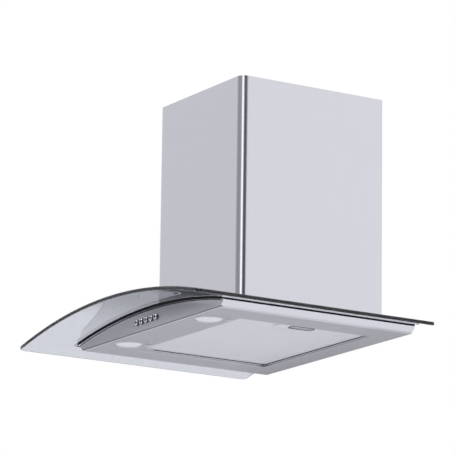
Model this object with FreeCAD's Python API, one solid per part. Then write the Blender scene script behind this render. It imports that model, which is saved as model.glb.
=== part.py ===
"""Wall-mounted range hood with a curved glass canopy, in millimetres.

+X is the hood's right as seen from the room, +Y points into the wall and +Z is up.
The pieces are drawn with the wall at y = 0 and the canopy's underside at z = 0, and
each one is then written with its origin at the centre of the four wall fixings.
"""

import FreeCAD
import Part
import math
import os

os.makedirs("parts", exist_ok=True)

V = FreeCAD.Vector
X_AXIS = V(1, 0, 0)
Y_AXIS = V(0, 1, 0)
Z_AXIS = V(0, 0, 1)

# ---------------------------------------------------------------- driving dimensions

# curved glass
glass_width = 600.0
glass_depth = 470.0
glass_thickness = 6.0
glass_underside_radius = 1205.0
glass_edge_height = 2.0
glass_corner_radius = 9.0
glass_edge_round = 2.2

# steel canopy under the glass
canopy_width = 452.0
canopy_depth = 382.0
canopy_sheet = 0.8
flare_angle = 46.5
wall_gap = 1.0
pan_blank_height = 44.0
bend_radius = 1.6
top_plate_sheet = 1.6
top_plate_side_overhang = 14.0
top_plate_front_overhang = 4.0
rim_sheet = 1.0
rim_width = 16.0
rim_side_overhang = 0.3
gasket_thickness = 2.8
gasket_front_setback = 0.2
gasket_side_setback = 0.3
gasket_rear_setback = 0.6
cutout_seal_gap = 0.3

# front fascia and its switches
fascia_sheet = 1.0
fascia_lower_gap = 0.9
fascia_upper_gap = 1.0
fascia_end_gap = 0.4
fascia_return = 12.0
front_hem_height = 1.3
front_flange_height = 9.0
button_count = 5
button_pitch = 15.7
button_row_x = -8.8
button_row_z = 18.5
button_radius = 4.9
button_proud = 4.0
button_rim = 1.3
button_dish = 0.9
button_travel = 2.5
button_gap = 0.6
switch_block_depth = 28.0
switch_block_height = 16.5
switch_block_margin = 11.0
switch_board_thickness = 1.6
switch_block_lift = 0.6
switch_block_round = 1.0
button_bore_gap = 1.8
button_reach = 9.5
button_end_gap = 0.4
button_stop_gap = 0.3
button_collar = 1.3
button_collar_length = 1.4
button_crown = 1.2

# lamps
lamp_x = 131.0
lamp_from_front = 37.0
lamp_lens_radius = 23.0
lamp_bezel_radius = 29.0
lamp_bezel_thickness = 1.2
lamp_neck_radius = 26.0
lamp_neck_wall = 1.4
lamp_neck_height = 12.0
lamp_depth = 21.0
lamp_screw_offset = (21.0, 27.0)
lamp_screw_length = 6.0
lamp_hole_gap = 0.3
lamp_lens_top = 3.0
lamp_lens_ledge = 0.4
lamp_lens_gap = 0.2
lamp_cup_wall = 1.2
lamp_cup_shoulder = 15.0
lamp_cup_top_radius = 14.0
bulb_radius = 3.2
bulb_length = 14.0
bulb_height = 11.0
bulb_socket = (10.0, 9.0, 6.0)
bulb_socket_from_centre = 9.0
transformer_round = 2.0
transformer_ear = (20.0, 7.0, 2.0)
transformer_from_front = 10.0

# grease filter
filter_opening_x = 336.0
filter_opening_y = 263.0
filter_from_front = 76.0
filter_recess = 4.8
filter_thickness = 10.0
filter_side_gap = 2.0
filter_frame_sheet = 0.8
filter_face_width = 9.0
filter_corner_round = 2.0
filter_edge_round = 0.5
filter_pin_radius = 1.2
filter_pin_gap = 0.1
mesh_sheet = 0.5
mesh_pin_clearance = 5.0
pleat_count = 44
pleat_sheet = 0.5
collar_flange = 4.0
collar_head_gap = 0.6
mouth_roll = 0.6
hinge_hole_reach = 4.0
hinge_pin_inside = 14.0
hinge_pin_end = 1.2
filter_closing_overlap = 6.0

# latch on the filter's right side
latch_plate_x = 29.0
latch_plate_y = 80.0
latch_plate_edge = 14.5
latch_plate_sheet = 0.8
latch_window_x = 16.0
latch_window_y = 44.0
latch_window_offset = 9.0
latch_window_round = 4.0
latch_pad_gap = 0.5
latch_pad_recess = 0.3
latch_cup_depth = 1.6
latch_travel = 4.5
latch_nose_gap = 0.4
latch_bolt_width = 12.0
latch_bolt_height = 2.4
latch_bolt_chamfer = 1.4
latch_bolt_above_face = 3.8
latch_slot_gap = 1.0
latch_passage_gap = 0.5
latch_slider_sheet = 3.2
latch_slider_lift = 0.4
latch_slider_side_gap = 0.6
latch_slider_overlap = 5.0
latch_cup_rim = 1.8
latch_case_round = 2.0
latch_case_below_top = 1.0
latch_tab_inset = 6.0

# steel box that carries the blower
box_sheet = 1.0
box_chimney_gap = 23.0
box_front_gap = 9.0
box_top = 250.0
box_flange = 12.0
base_plate_sheet = 1.0
base_plate_margin = 4.0
hanger_height = 55.0
fixing_hole_radius = 3.5
fixing_spacing_x = 190.0
fixing_low = 60.0
fixing_above_box = 25.0
keyhole_head_radius = 5.5
keyhole_slot_radius = 3.0
keyhole_drop = 11.0
keyhole_x = 62.0
keyhole_above_box = 26.0
rivet_radius = 1.6

# blower
wheel_radius = 70.0
blade_depth = 13.0
wheel_half_width = 42.0
blade_count = 32
blade_sheet = 0.8
wheel_sheet = 1.2
hub_radius = 9.0
hub_length = 16.0
shaft_radius = 4.0
shaft_running_gap = 0.05
scroll_half_width = 50.0
scroll_step = 8.0
scroll_clearance = 14.0
scroll_sheet = 0.8
scroll_floor_gap = 8.0
scroll_outlet = 94.0
tongue_radius = 7.0
throat_inset = 4.0
throat_round = 7.0
motor_radius = 38.0
motor_length = 56.0
motor_rim_round = 4.0
motor_clearance = 8.0
bearing_radius = 8.0
bearing_length = 7.0
spider_sheet = 1.5
spider_ring = 7.0
spider_foot_reach = 7.0
spider_arm_width = 14.0
grommet_radius = 6.5
grommet_height = 5.5
motor_screw_length = 9.5

# duct collar and its flaps
duct_collar_radius = 74.5
duct_collar_wall = 2.0
duct_collar_height = 52.0
duct_collar_flange = 84.0
collar_foot_sheet = 2.0
duct_collar_y = -100.0
flap_axle_radius = 1.5
flap_axle_height = 20.0
flap_thickness = 1.2
flap_edge_gap = 1.2
flap_knuckle_radius = 3.0
flap_knuckle_gap = 0.4
flap_running_gap = 0.1

# chimney covers
chimney_width = 272.0
chimney_depth = 290.0
chimney_top = 432.0
chimney_sheet = 0.8
chimney_corner_radius = 14.0
chimney_return = 12.0
upper_cover_gap = 1.2
upper_cover_above_glass = 16.0
upper_cover_below_top = 5.0
upper_return = 8.0
upper_return_gap = 3.0
vent_slot_count = 9
vent_slot_length = 120.0
vent_slot_height = 4.0
vent_slot_pitch = 11.0
bracket_sheet = 1.2
bracket_height = 35.0
bracket_below_top = 12.0
bracket_hole_spacing = 160.0
bracket_hole_radius = 3.25

# electrics on top of the blower box
terminal_box_size = (78.0, 62.0)
terminal_side_gap = 16.2
terminal_front_gap = 12.2
terminal_box_height = 34.0
terminal_wall = 2.0
terminal_lid_sheet = 2.0
terminal_boss_radius = 3.5
terminal_boss_inset = 5.0
gland_bore_radius = 3.7
gland_hex = 8.5
gland_thread_radius = 6.0
gland_height = 14.0
gland_nut_height = 6.0
gland_dome_wall = 1.6
gland_thread_length = 8.0
gland_locknut_height = 3.0
gland_from_box_end = 20.0
capacitor_radius = 15.0
capacitor_length = 58.0
capacitor_x = 12.0
transformer_size = (50.0, 52.0, 20.0)
transformer_x = 44.0

# fasteners
screw_shank = 2.0
screw_head = 3.8
screw_head_height = 2.2
roof_screw_length = 8.0
glass_screw_radius = 2.5
glass_screw_head = 4.6
glass_screw_from_cutout = 9.8
glass_screw_rear = 60.0
glass_screw_front_inset = 41.2
glass_bush_radius = 3.4
glass_washer_radius = 6.5
glass_washer_height = 1.6
glass_nut_flats = 8.0
glass_nut_height = 4.0
glass_nut_gap = 0.02
glass_screw_head_height = 2.4
glass_screw_end = 7.0
glass_screw_hole_gap = 0.3
glass_cutout_gap = 3.0
cutout_corner_radius = 8.0

# ---------------------------------------------------------------- worked-out positions

half_glass = glass_width / 2
glass_rise = glass_underside_radius - math.sqrt(glass_underside_radius**2 - half_glass**2)
arch_centre_z = glass_edge_height + glass_rise - glass_underside_radius
glass_top_radius = glass_underside_radius + glass_thickness
plate_under_radius = glass_underside_radius - top_plate_sheet
gasket_under_radius = plate_under_radius - gasket_thickness
rim_under_radius = gasket_under_radius - rim_sheet
upper_cover_bottom = arch_centre_z + glass_top_radius + upper_cover_above_glass

rear_y = -wall_gap
front_y = rear_y - canopy_depth
glass_front_y = rear_y - glass_depth
half_canopy = canopy_width / 2
flare = math.tan(math.radians(flare_angle))

filter_front_y = front_y + filter_from_front
filter_rear_y = filter_front_y + filter_opening_y
filter_left_x = -filter_opening_x / 2
filter_right_x = filter_opening_x / 2
filter_top = filter_recess + filter_thickness
collar_top = filter_top + collar_head_gap
hinge_x = filter_left_x + filter_side_gap + filter_corner_round
hinge_z = filter_recess + filter_corner_round
latch_centre_y = (filter_front_y + filter_rear_y) / 2

half_box = chimney_width / 2 - box_chimney_gap - chimney_sheet
box_front_y = -chimney_depth + chimney_sheet + box_front_gap
box_floor = collar_top + base_plate_sheet
half_cutout = half_box + glass_cutout_gap
cutout_front_y = box_front_y - glass_cutout_gap
glass_screw_x = half_cutout + glass_screw_from_cutout
glass_screw_y = (-glass_screw_rear, cutout_front_y + glass_screw_front_inset)
fixing_high = box_top + fixing_above_box
keyhole_z = box_top + keyhole_above_box
bracket_high = chimney_top - bracket_below_top
bracket_low = bracket_high - bracket_height
terminal_box_x = (
    -half_box + terminal_side_gap,
    -half_box + terminal_side_gap + terminal_box_size[0],
)
terminal_box_y = (
    box_front_y + terminal_front_gap,
    box_front_y + terminal_front_gap + terminal_box_size[1],
)

wheel_inner_radius = wheel_radius - blade_depth
throat_radius = wheel_inner_radius - throat_inset
spider_foot_radius = throat_radius + throat_round + spider_foot_reach
scroll_first_radius = wheel_radius + scroll_clearance
wheel_y = duct_collar_y - scroll_first_radius - 2.5 * scroll_step + scroll_outlet / 2
scroll_last_radius = scroll_first_radius + 2 * scroll_step
wheel_z = box_floor + scroll_floor_gap + scroll_first_radius + 1.5 * scroll_step
flap_axle_z = box_top + flap_axle_height
fixings_z = (fixing_low + fixing_high) / 2
through_canopy = (-20.0, 80.0)


# ---------------------------------------------------------------- shared shapes


def block(x0, x1, y0, y1, z0, z1):
    return Part.makeBox(x1 - x0, y1 - y0, z1 - z0, V(x0, y0, z0))


def rounded_prism(x0, x1, y0, y1, z0, z1, radius):
    """An upright block whose four plan corners are rounded."""
    solid = block(x0, x1, y0, y1, z0, z1)
    return solid.makeFillet(radius, upright_edges(solid))


def upright_edges(solid):
    return [e for e in solid.Edges if abs(e.tangentAt(e.FirstParameter).z) > 0.999]


def edges_at_height(solid, z):
    return [
        e
        for e in solid.Edges
        if abs(e.BoundBox.ZMin - z) < 1e-4 and abs(e.BoundBox.ZMax - z) < 1e-4
    ]


def cylinder(radius, start, axis, length):
    return Part.makeCylinder(radius, length, start, axis)


def tube(outer, inner, start, axis, length):
    return cylinder(outer, start, axis, length).cut(cylinder(inner, start, axis, length))


def section_prism(points, y0, y1):
    """A section given as (x, z) points, run from y0 to y1."""
    corners = [V(x, y0, z) for x, z in points]
    face = Part.Face(Part.makePolygon(corners + corners[:1]))
    return face.extrude(V(0, y1 - y0, 0))


def arch_height(radius, x):
    """Height of the arch of this radius above the canopy's underside, x off centre."""
    return arch_centre_z + math.sqrt(radius**2 - x**2)


def arch_edge(radius, half_width, y):
    side_z = arch_height(radius, half_width)
    crown = V(0, y, arch_height(radius, 0))
    return Part.Arc(V(-half_width, y, side_z), crown, V(half_width, y, side_z)).toShape()


def arched_sheet(under_radius, top_radius, half_width, y0, y1):
    """A sheet bent to the glass's arch and cut off square at both sides."""
    under = arch_edge(under_radius, half_width, y0)
    top = arch_edge(top_radius, half_width, y0)
    sides = [
        Part.makeLine(under.Vertexes[i].Point, top.Vertexes[i].Point) for i in (0, 1)
    ]
    face = Part.Face(Part.Wire(Part.__sortEdges__([under, top] + sides)))
    return face.extrude(V(0, y1 - y0, 0))


def under_arch(radius, y0, y1):
    """All the space below an arch, to trim walls that end against it."""
    depth = -50.0
    top = arch_edge(radius, half_glass, y0)
    left, right = top.Vertexes[0].Point, top.Vertexes[1].Point
    low_left, low_right = V(left.x, y0, depth), V(right.x, y0, depth)
    edges = [
        top,
        Part.makeLine(right, low_right),
        Part.makeLine(low_right, low_left),
        Part.makeLine(low_left, left),
    ]
    return Part.Face(Part.Wire(Part.__sortEdges__(edges))).extrude(V(0, y1 - y0, 0))


def on_arch(shape, x):
    """Carries a shape made at the crown of the arch round to x, square to the glass."""
    turned = shape.copy()
    mean_radius = glass_underside_radius + glass_thickness / 2
    angle = math.degrees(math.asin(x / mean_radius))
    turned.rotate(V(0, 0, arch_centre_z), Y_AXIS, angle)
    return turned


def fused(shapes):
    first, rest = shapes[0], list(shapes[1:])
    if not rest:
        return first
    return first.multiFuse(rest).removeSplitter()


def group(shapes):
    return Part.makeCompound(list(shapes))


def pan_head_screw(seat, axis, length):
    """A screw whose domed head stands on the seat and whose shank runs along axis."""
    back = V(axis).multiply(-screw_head_height)
    head = Part.makeCone(screw_head, screw_head * 0.6, screw_head_height, seat, back)
    return head.fuse(cylinder(screw_shank, seat, axis, length))


# ---------------------------------------------------------------- glass and its seals


def glass_screw_places():
    return [(x, y) for x in (-glass_screw_x, glass_screw_x) for y in glass_screw_y]


def arch_drill(radius, x, y):
    """A drill through the glass and the plate, square to the arch."""
    start = V(0, y, arch_height(plate_under_radius, 0) - 5)
    return on_arch(cylinder(radius, start, Z_AXIS, glass_thickness + 20), x)


def glass_canopy():
    sheet = arched_sheet(
        glass_underside_radius, glass_top_radius, half_glass, glass_front_y, rear_y
    )
    sheet = sheet.makeFillet(glass_corner_radius, upright_edges(sheet))
    sheet = sheet.makeFillet(glass_edge_round, glass_rim_edges(sheet))
    drills = [arch_drill(glass_bush_radius, x, y) for x, y in glass_screw_places()]
    return sheet.cut([cutout_prism(0)] + drills)


def glass_rim_edges(sheet):
    """The long edges round the top and the underside, and not the upright corner lines."""
    rim = []
    for edge in sheet.Edges:
        box = edge.BoundBox
        if max(box.XLength, box.YLength) > glass_thickness * 0.9:
            rim.append(edge)
    return rim


def cutout_prism(gap):
    """Upright space of the cut-out round the blower box, opened by gap."""
    side = half_cutout + gap
    return rounded_prism(
        -side,
        side,
        cutout_front_y - gap,
        rear_y + 2 * cutout_corner_radius,
        *through_canopy,
        cutout_corner_radius,
    )


def wall_top_half_width():
    """Half-width over the flared side walls, where they end under the rim."""
    x = half_canopy
    for _ in range(20):
        x = half_canopy + flare * arch_height(rim_under_radius, x)
    return x


def rim_front_y():
    return front_y - top_plate_front_overhang + gasket_front_setback


def horseshoe(under_radius, top_radius, half_width, y0, y1):
    """An arched strip round the front and both sides of the canopy, open at the wall."""
    strip = arched_sheet(under_radius, top_radius, half_width, y0, y1)
    inner = half_width - rim_width
    return strip.cut(block(-inner, inner, y0 + rim_width, y1 + rim_width, *through_canopy))


def canopy_rim():
    """Arched strip along the top of the canopy's walls, that carries the gasket."""
    half = wall_top_half_width() + rim_side_overhang
    return horseshoe(rim_under_radius, gasket_under_radius, half, rim_front_y(), rear_y)


def glass_gasket():
    half = wall_top_half_width() + rim_side_overhang - gasket_side_setback
    return horseshoe(
        gasket_under_radius,
        plate_under_radius,
        half,
        rim_front_y(),
        rear_y - gasket_rear_setback,
    )


def cutout_gasket():
    """Rubber seal between the edge of the cut-out and the blower box."""
    seal = arched_sheet(
        plate_under_radius,
        glass_top_radius,
        half_cutout + glass_cutout_gap,
        cutout_front_y - glass_cutout_gap,
        rear_y - gasket_rear_setback,
    )
    side = half_box + cutout_seal_gap
    box_space = block(-side, side, box_front_y - cutout_seal_gap, wall_gap, *through_canopy)
    return seal.common(cutout_prism(0)).cut(box_space)


def top_plate():
    half = wall_top_half_width() + top_plate_side_overhang
    plate = arched_sheet(
        plate_under_radius,
        glass_underside_radius,
        half,
        front_y - top_plate_front_overhang,
        rear_y,
    )
    drill = glass_screw_radius + glass_screw_hole_gap
    drills = [arch_drill(drill, x, y) for x, y in glass_screw_places()]
    return plate.cut([cutout_prism(0)] + drills)


def glass_screws():
    crown = arch_height(glass_top_radius, 0) + glass_washer_height
    length = glass_thickness + top_plate_sheet + glass_washer_height + glass_screw_end
    screws = []
    for x, y in glass_screw_places():
        seat = V(0, y, crown)
        head = Part.makeCone(
            glass_screw_head, glass_screw_head * 0.65, glass_screw_head_height, seat, Z_AXIS
        )
        shank = cylinder(glass_screw_radius, V(0, y, crown - length), Z_AXIS, length)
        screws.append(on_arch(head.fuse(shank), x))
    return group(screws)


def glass_bushes():
    """Nylon collars that keep each screw off the glass, with a washer on top."""
    bushes = []
    for x, y in glass_screw_places():
        foot = V(0, y, arch_height(glass_underside_radius, 0))
        crown = arch_height(glass_top_radius, 0)
        sleeve = cylinder(glass_bush_radius, foot, Z_AXIS, crown - foot.z)
        washer = cylinder(
            glass_washer_radius, V(0, y, crown), Z_AXIS, glass_washer_height
        )
        bore = cylinder(glass_screw_radius, V(0, y, foot.z - 1), Z_AXIS, 40)
        bushes.append(on_arch(sleeve.fuse(washer).cut(bore), x))
    return group(bushes)


def glass_nuts():
    nuts = []
    for x, y in glass_screw_places():
        top = arch_height(plate_under_radius, 0)
        foot = V(0, y, top - glass_nut_height - glass_nut_gap)
        nut = hexagon(glass_nut_flats, glass_nut_height, foot)
        bore = cylinder(glass_screw_radius, V(0, y, top - 5), Z_AXIS, 8)
        nuts.append(on_arch(nut.cut(bore), x))
    return group(nuts)


def hexagon(across_flats, height, centre):
    corner = across_flats / 2 / math.cos(math.radians(30))
    points = [
        centre + V(corner * math.cos(math.radians(a)), corner * math.sin(math.radians(a)), 0)
        for a in range(0, 360, 60)
    ]
    return Part.Face(Part.makePolygon(points + points[:1])).extrude(V(0, 0, height))


# ---------------------------------------------------------------- canopy sheet metal


def flared_section(inset, z0, z1):
    """Section between the flared side walls, moved in by inset square to the walls."""
    shift = inset / math.cos(math.radians(flare_angle))
    low = half_canopy - shift + flare * z0
    high = half_canopy - shift + flare * z1
    return [(-low, z0), (low, z0), (high, z1), (-high, z1)]


def canopy_pan():
    outer = section_prism(flared_section(0, 0, pan_blank_height), front_y, rear_y)
    outer = outer.makeFillet(bend_radius, edges_at_height(outer, 0))
    inner = section_prism(
        flared_section(canopy_sheet, canopy_sheet, pan_blank_height + 1),
        front_y + canopy_sheet,
        rear_y - canopy_sheet,
    )
    inner = inner.makeFillet(
        bend_radius - canopy_sheet, edges_at_height(inner, canopy_sheet)
    )
    pan = outer.cut(inner).common(under_arch(rim_under_radius, front_y, rear_y))
    open_front = block(-300, 300, front_y - 1, front_y + canopy_sheet, front_hem_height, 60)
    behind_fascia = front_y + fascia_sheet
    flange_y = behind_fascia + canopy_sheet
    side_lips = section_prism(
        flared_section(canopy_sheet, front_hem_height, 60), front_y - 1, flange_y
    )
    pan = pan.cut(open_front.common(side_lips))
    hem = section_prism(
        flared_section(canopy_sheet, canopy_sheet, front_hem_height),
        front_y + canopy_sheet,
        flange_y,
    )
    flange = section_prism(
        flared_section(canopy_sheet, canopy_sheet, front_flange_height),
        behind_fascia,
        flange_y,
    )
    pan = fused([pan, hem, flange, filter_collar()])
    pan = pan.cut(filter_mouth())
    pan = pan.cut(
        [lamp_hole(side) for side in (-1, 1)]
        + [lamp_screw_hole(side) for side in (-1, 1)]
        + [hinge_pin_holes(), latch_keeper_slot(), rear_wall_notch()]
    )
    return pan


def rear_wall_notch():
    """Room in the pan's rear wall for the blower box, its flange and the base plate."""
    half = filter_right_x + base_plate_margin + 0.5
    return block(-half, half, rear_y - 2, rear_y + 1, collar_top - 0.3, 80)


def filter_collar():
    """Upstand round the filter opening, with an outward flange that carries the base plate."""
    t = canopy_sheet
    x0, x1 = filter_left_x, filter_right_x
    y0, y1 = filter_front_y, filter_rear_y
    wall = block(x0 - t, x1 + t, y0 - t, y1 + t, 0, collar_top)
    w = collar_flange
    flange = block(x0 - w, x1 + w, y0 - w, y1 + w, collar_top - t, collar_top)
    return wall.fuse(flange).cut(block(x0, x1, y0, y1, -1, collar_top + 1))


def filter_mouth():
    """The opening in the pan's floor, with its edge rolled to the bend radius."""
    opening = block(
        filter_left_x, filter_right_x, filter_front_y, filter_rear_y, -1, collar_top + 1
    )
    roll = mouth_roll
    flare_in = block(
        filter_left_x - roll,
        filter_right_x + roll,
        filter_front_y - roll,
        filter_rear_y + roll,
        -roll,
        roll,
    )
    bevel = flare_in.makeChamfer(roll * 0.98, edges_at_height(flare_in, roll))
    return opening.fuse(bevel)


def hinge_pin_holes():
    start = V(hinge_x, filter_front_y - hinge_hole_reach, hinge_z)
    length = filter_opening_y + 2 * hinge_hole_reach
    return cylinder(filter_pin_radius + filter_pin_gap, start, Y_AXIS, length)


def latch_keeper_slot():
    return block(
        filter_right_x - 1,
        filter_right_x + canopy_sheet + 1,
        latch_centre_y - latch_bolt_width / 2 - latch_slot_gap,
        latch_centre_y + latch_bolt_width / 2 + latch_slot_gap,
        latch_bolt_z() - latch_slot_gap,
        latch_bolt_z() + latch_bolt_height + latch_slot_gap,
    )


def front_fascia():
    inset = canopy_sheet + fascia_end_gap
    low = front_hem_height + fascia_lower_gap
    crown_radius = rim_under_radius - fascia_upper_gap
    panel = section_prism(flared_section(inset, low, 60), front_y, front_y + fascia_sheet)
    returned = section_prism(
        flared_section(inset, low, 60), front_y, front_y + fascia_return
    )
    crown = arched_sheet(
        crown_radius - fascia_sheet,
        crown_radius,
        half_canopy + 20,
        front_y,
        front_y + fascia_return,
    )
    trim = under_arch(crown_radius, front_y, front_y + fascia_return)
    fascia = panel.fuse(returned.common(crown)).common(trim).removeSplitter()
    holes = [
        cylinder(button_radius + button_gap, V(x, front_y - 1, button_row_z), Y_AXIS, 4)
        for x in button_places()
    ]
    return fascia.cut(holes)


# ---------------------------------------------------------------- switches


def button_places():
    middle = (button_count - 1) / 2
    return [button_row_x + (i - middle) * button_pitch for i in range(button_count)]


def switch_block_span():
    places = button_places()
    return places[0] - switch_block_margin, places[-1] + switch_block_margin


def button_rear_y():
    return front_y + fascia_sheet + button_reach


def switch_housing():
    x0, x1 = switch_block_span()
    y0 = front_y + fascia_sheet
    z0 = front_flange_height + switch_block_lift
    body = block(x0, x1, y0, y0 + switch_block_depth, z0, z0 + switch_block_height)
    long_edges = [e for e in body.Edges if e.BoundBox.YLength > switch_block_depth / 2]
    body = body.makeFillet(switch_block_round, long_edges)
    bore_radius = button_radius + button_bore_gap
    depth = button_rear_y() + button_travel + button_end_gap - y0
    bores = [
        cylinder(bore_radius, V(x, y0 - 1, button_row_z), Y_AXIS, depth + 1)
        for x in button_places()
    ]
    return body.cut(bores)


def switch_board():
    x0, x1 = switch_block_span()
    y0 = front_y + fascia_sheet + switch_block_depth
    z0 = front_flange_height + switch_block_lift
    return block(x0, x1, y0, y0 + switch_board_thickness, z0, z0 + switch_block_height)


def push_button(index):
    """A cap with a dished face, a collar that stops it behind the fascia and a stem."""
    x = button_places()[index]
    tip_y = front_y - button_proud
    stop_y = front_y + fascia_sheet + button_stop_gap
    collar_y = stop_y + button_collar_length
    r = button_radius
    stem = r - button_collar
    collar = r + button_collar
    dish_edge = r - button_rim
    dish = Part.Arc(
        V(x, tip_y + button_dish, button_row_z),
        V(x + dish_edge / 2, tip_y + 0.75 * button_dish, button_row_z),
        V(x + dish_edge, tip_y, button_row_z),
    ).toShape()
    profile = [
        (dish_edge, tip_y),
        (r - 0.4 * button_crown, tip_y + 0.25 * button_crown),
        (r, tip_y + button_crown),
        (r, stop_y),
        (collar, stop_y),
        (collar, collar_y),
        (stem, collar_y),
        (stem, button_rear_y()),
        (0, button_rear_y()),
        (0, tip_y + button_dish),
    ]
    points = [V(x + radius, y, button_row_z) for radius, y in profile]
    outline = Part.makePolygon(points)
    face = Part.Face(Part.Wire(Part.__sortEdges__([dish] + outline.Edges)))
    return face.revolve(V(x, 0, button_row_z), Y_AXIS, 360)


# ---------------------------------------------------------------- lamps


def lamp_centre(side):
    return side * lamp_x, front_y + lamp_from_front


def lamp_hole(side):
    x, y = lamp_centre(side)
    return cylinder(lamp_neck_radius + lamp_hole_gap, V(x, y, -1), Z_AXIS, 4)


def lamp_screw_place(side):
    x, y = lamp_centre(side)
    return x + lamp_screw_offset[0], y + lamp_screw_offset[1]


def lamp_screw_hole(side):
    x, y = lamp_screw_place(side)
    return cylinder(screw_shank, V(x, y, -1), Z_AXIS, 4)


def ring_of(profile, x, y):
    """A turned ring from (radius, z) points about the upright line through x, y."""
    points = [V(x + radius, y, z) for radius, z in profile]
    face = Part.Face(Part.makePolygon(points + points[:1]))
    return face.revolve(V(x, y, 0), Z_AXIS, 360)


def lamp_bezel(side):
    x, y = lamp_centre(side)
    neck_in = lamp_neck_radius - lamp_neck_wall
    low = -lamp_bezel_thickness
    return ring_of(
        [
            (lamp_lens_radius, lamp_lens_ledge),
            (lamp_lens_radius + 0.6, low + 0.3),
            (lamp_lens_radius + 1.6, low),
            (lamp_bezel_radius - 1.4, low),
            (lamp_bezel_radius, -0.3),
            (lamp_bezel_radius, 0),
            (lamp_neck_radius, 0),
            (lamp_neck_radius, lamp_neck_height),
            (neck_in, lamp_neck_height),
            (neck_in, lamp_lens_ledge),
        ],
        x,
        y,
    )


def lamp_lens(side):
    """Frosted glass disc, a little crowned, on the bezel's inner ledge."""
    x, y = lamp_centre(side)
    rim = lamp_neck_radius - lamp_neck_wall - lamp_lens_gap
    edge = lamp_lens_radius - lamp_lens_gap
    low, top = lamp_lens_ledge, lamp_lens_top
    crown = [(0, low - 0.6), (0.45 * edge, low - 0.4), (0.8 * edge, low - 0.15), (edge, low)]
    return ring_of(crown + [(rim, low), (rim, top), (0, top)], x, y)


def lamp_housing(side):
    x, y = lamp_centre(side)
    outer = lamp_neck_radius - lamp_neck_wall - lamp_lens_gap
    wall = lamp_cup_wall
    return ring_of(
        [
            (outer, lamp_lens_top),
            (outer, lamp_cup_shoulder),
            (lamp_cup_top_radius, lamp_depth),
            (0, lamp_depth),
            (0, lamp_depth - wall),
            (lamp_cup_top_radius - wall / 2, lamp_depth - wall),
            (outer - wall, lamp_cup_shoulder - wall / 2),
            (outer - wall, lamp_lens_top),
        ],
        x,
        y,
    )


def lamp_bulbs():
    """Capsule bulbs that lie across the cups, each in its small socket."""
    bulbs = []
    for side in (-1, 1):
        x, y = lamp_centre(side)
        z = bulb_height
        length, width, height = bulb_socket
        x1 = x - bulb_socket_from_centre
        socket = block(
            x1 - length, x1, y - width / 2, y + width / 2, z - height / 2, z + height / 2
        )
        capsule = cylinder(bulb_radius, V(x1, y, z), X_AXIS, bulb_length)
        tip = Part.makeSphere(bulb_radius, V(x1 + bulb_length, y, z))
        bulbs.append(socket.fuse([capsule, tip]))
    return group(bulbs)


def lamp_screws():
    screws = []
    for side in (-1, 1):
        x, y = lamp_screw_place(side)
        screws.append(pan_head_screw(V(x, y, 0), Z_AXIS, lamp_screw_length))
    return group(screws)


def lamp_transformer():
    length, width, height = transformer_size
    x0 = transformer_x
    y0 = front_y + transformer_from_front
    z0 = canopy_sheet
    body = block(x0, x0 + length, y0, y0 + width, z0, z0 + height)
    body = body.makeFillet(transformer_round, upright_edges(body))
    ear_x, reach, sheet = transformer_ear
    ear_x0 = x0 + (length - ear_x) / 2
    ear = block(ear_x0, ear_x0 + ear_x, y0 - reach, y0 + width + reach, z0, z0 + sheet)
    return body.fuse(ear)


# ---------------------------------------------------------------- grease filter


def filter_span(inset):
    gap = filter_side_gap + inset
    return (
        filter_left_x + gap,
        filter_right_x - gap,
        filter_front_y + gap,
        filter_rear_y - gap,
    )


def filter_frame():
    """Folded aluminium channel, open inwards, with its left edge round on the hinge line."""
    x0, x1, y0, y1 = filter_span(0)
    body = block(x0, x1, y0, y1, filter_recess, filter_top)
    left_low = [
        e
        for e in edges_at_height(body, filter_recess)
        if e.BoundBox.XMax < x0 + 0.01
    ]
    body = body.makeFillet(filter_corner_round, left_low)
    other_low = [
        e
        for e in edges_at_height(body, filter_recess)
        if e.BoundBox.XMax > x1 - 0.01
    ]
    body = body.makeFillet(filter_edge_round, other_low)
    t = filter_frame_sheet
    channel = block(x0 + t, x1 - t, y0 + t, y1 - t, filter_recess + t, filter_top - t)
    w = filter_face_width
    window = rounded_prism(x0 + w, x1 - w, y0 + w, y1 - w, 0, 60, 3.0)
    body = body.cut([channel, window])
    pins = cylinder(
        filter_pin_radius, V(hinge_x, y0 - 10, hinge_z), Y_AXIS, filter_opening_y + 20
    )
    return body.cut([pins, latch_bolt_passage(), latch_case_space(0.2)])


def mesh_window(shape):
    """Cuts the room for the latch out of a layer of the filter."""
    return shape.cut([latch_case_space(0.4), latch_bolt_passage(), latch_flange(0.3)])


def mesh_span():
    """Plan of the layers: inside the channel, and clear of the hinge pins on the left."""
    x0, x1, y0, y1 = filter_span(filter_frame_sheet + 0.5)
    return x0 + mesh_pin_clearance, x1, y0, y1


def filter_face_mesh():
    """Two flat sheets of fine mesh, behind the frame's lower and upper faces."""
    x0, x1, y0, y1 = mesh_span()
    low = filter_recess + filter_frame_sheet
    high = filter_top - filter_frame_sheet - mesh_sheet
    sheets = [
        mesh_window(block(x0, x1, y0, y1, z, z + mesh_sheet)) for z in (low, high)
    ]
    return group(sheets)


def filter_core():
    """Pleated layer of coarse mesh that keeps the two flat sheets apart."""
    x0, x1, y0, y1 = mesh_span()
    low = filter_recess + filter_frame_sheet + mesh_sheet
    high = filter_top - filter_frame_sheet - mesh_sheet
    pitch = (x1 - x0) / pleat_count
    rise = high - low - pleat_sheet
    under = []
    for i in range(pleat_count + 1):
        under.append((x0 + i * pitch, low + (rise if i % 2 else 0)))
    over = [(x, z + pleat_sheet) for x, z in reversed(under)]
    return mesh_window(section_prism(under + over, y0, y1))


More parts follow.
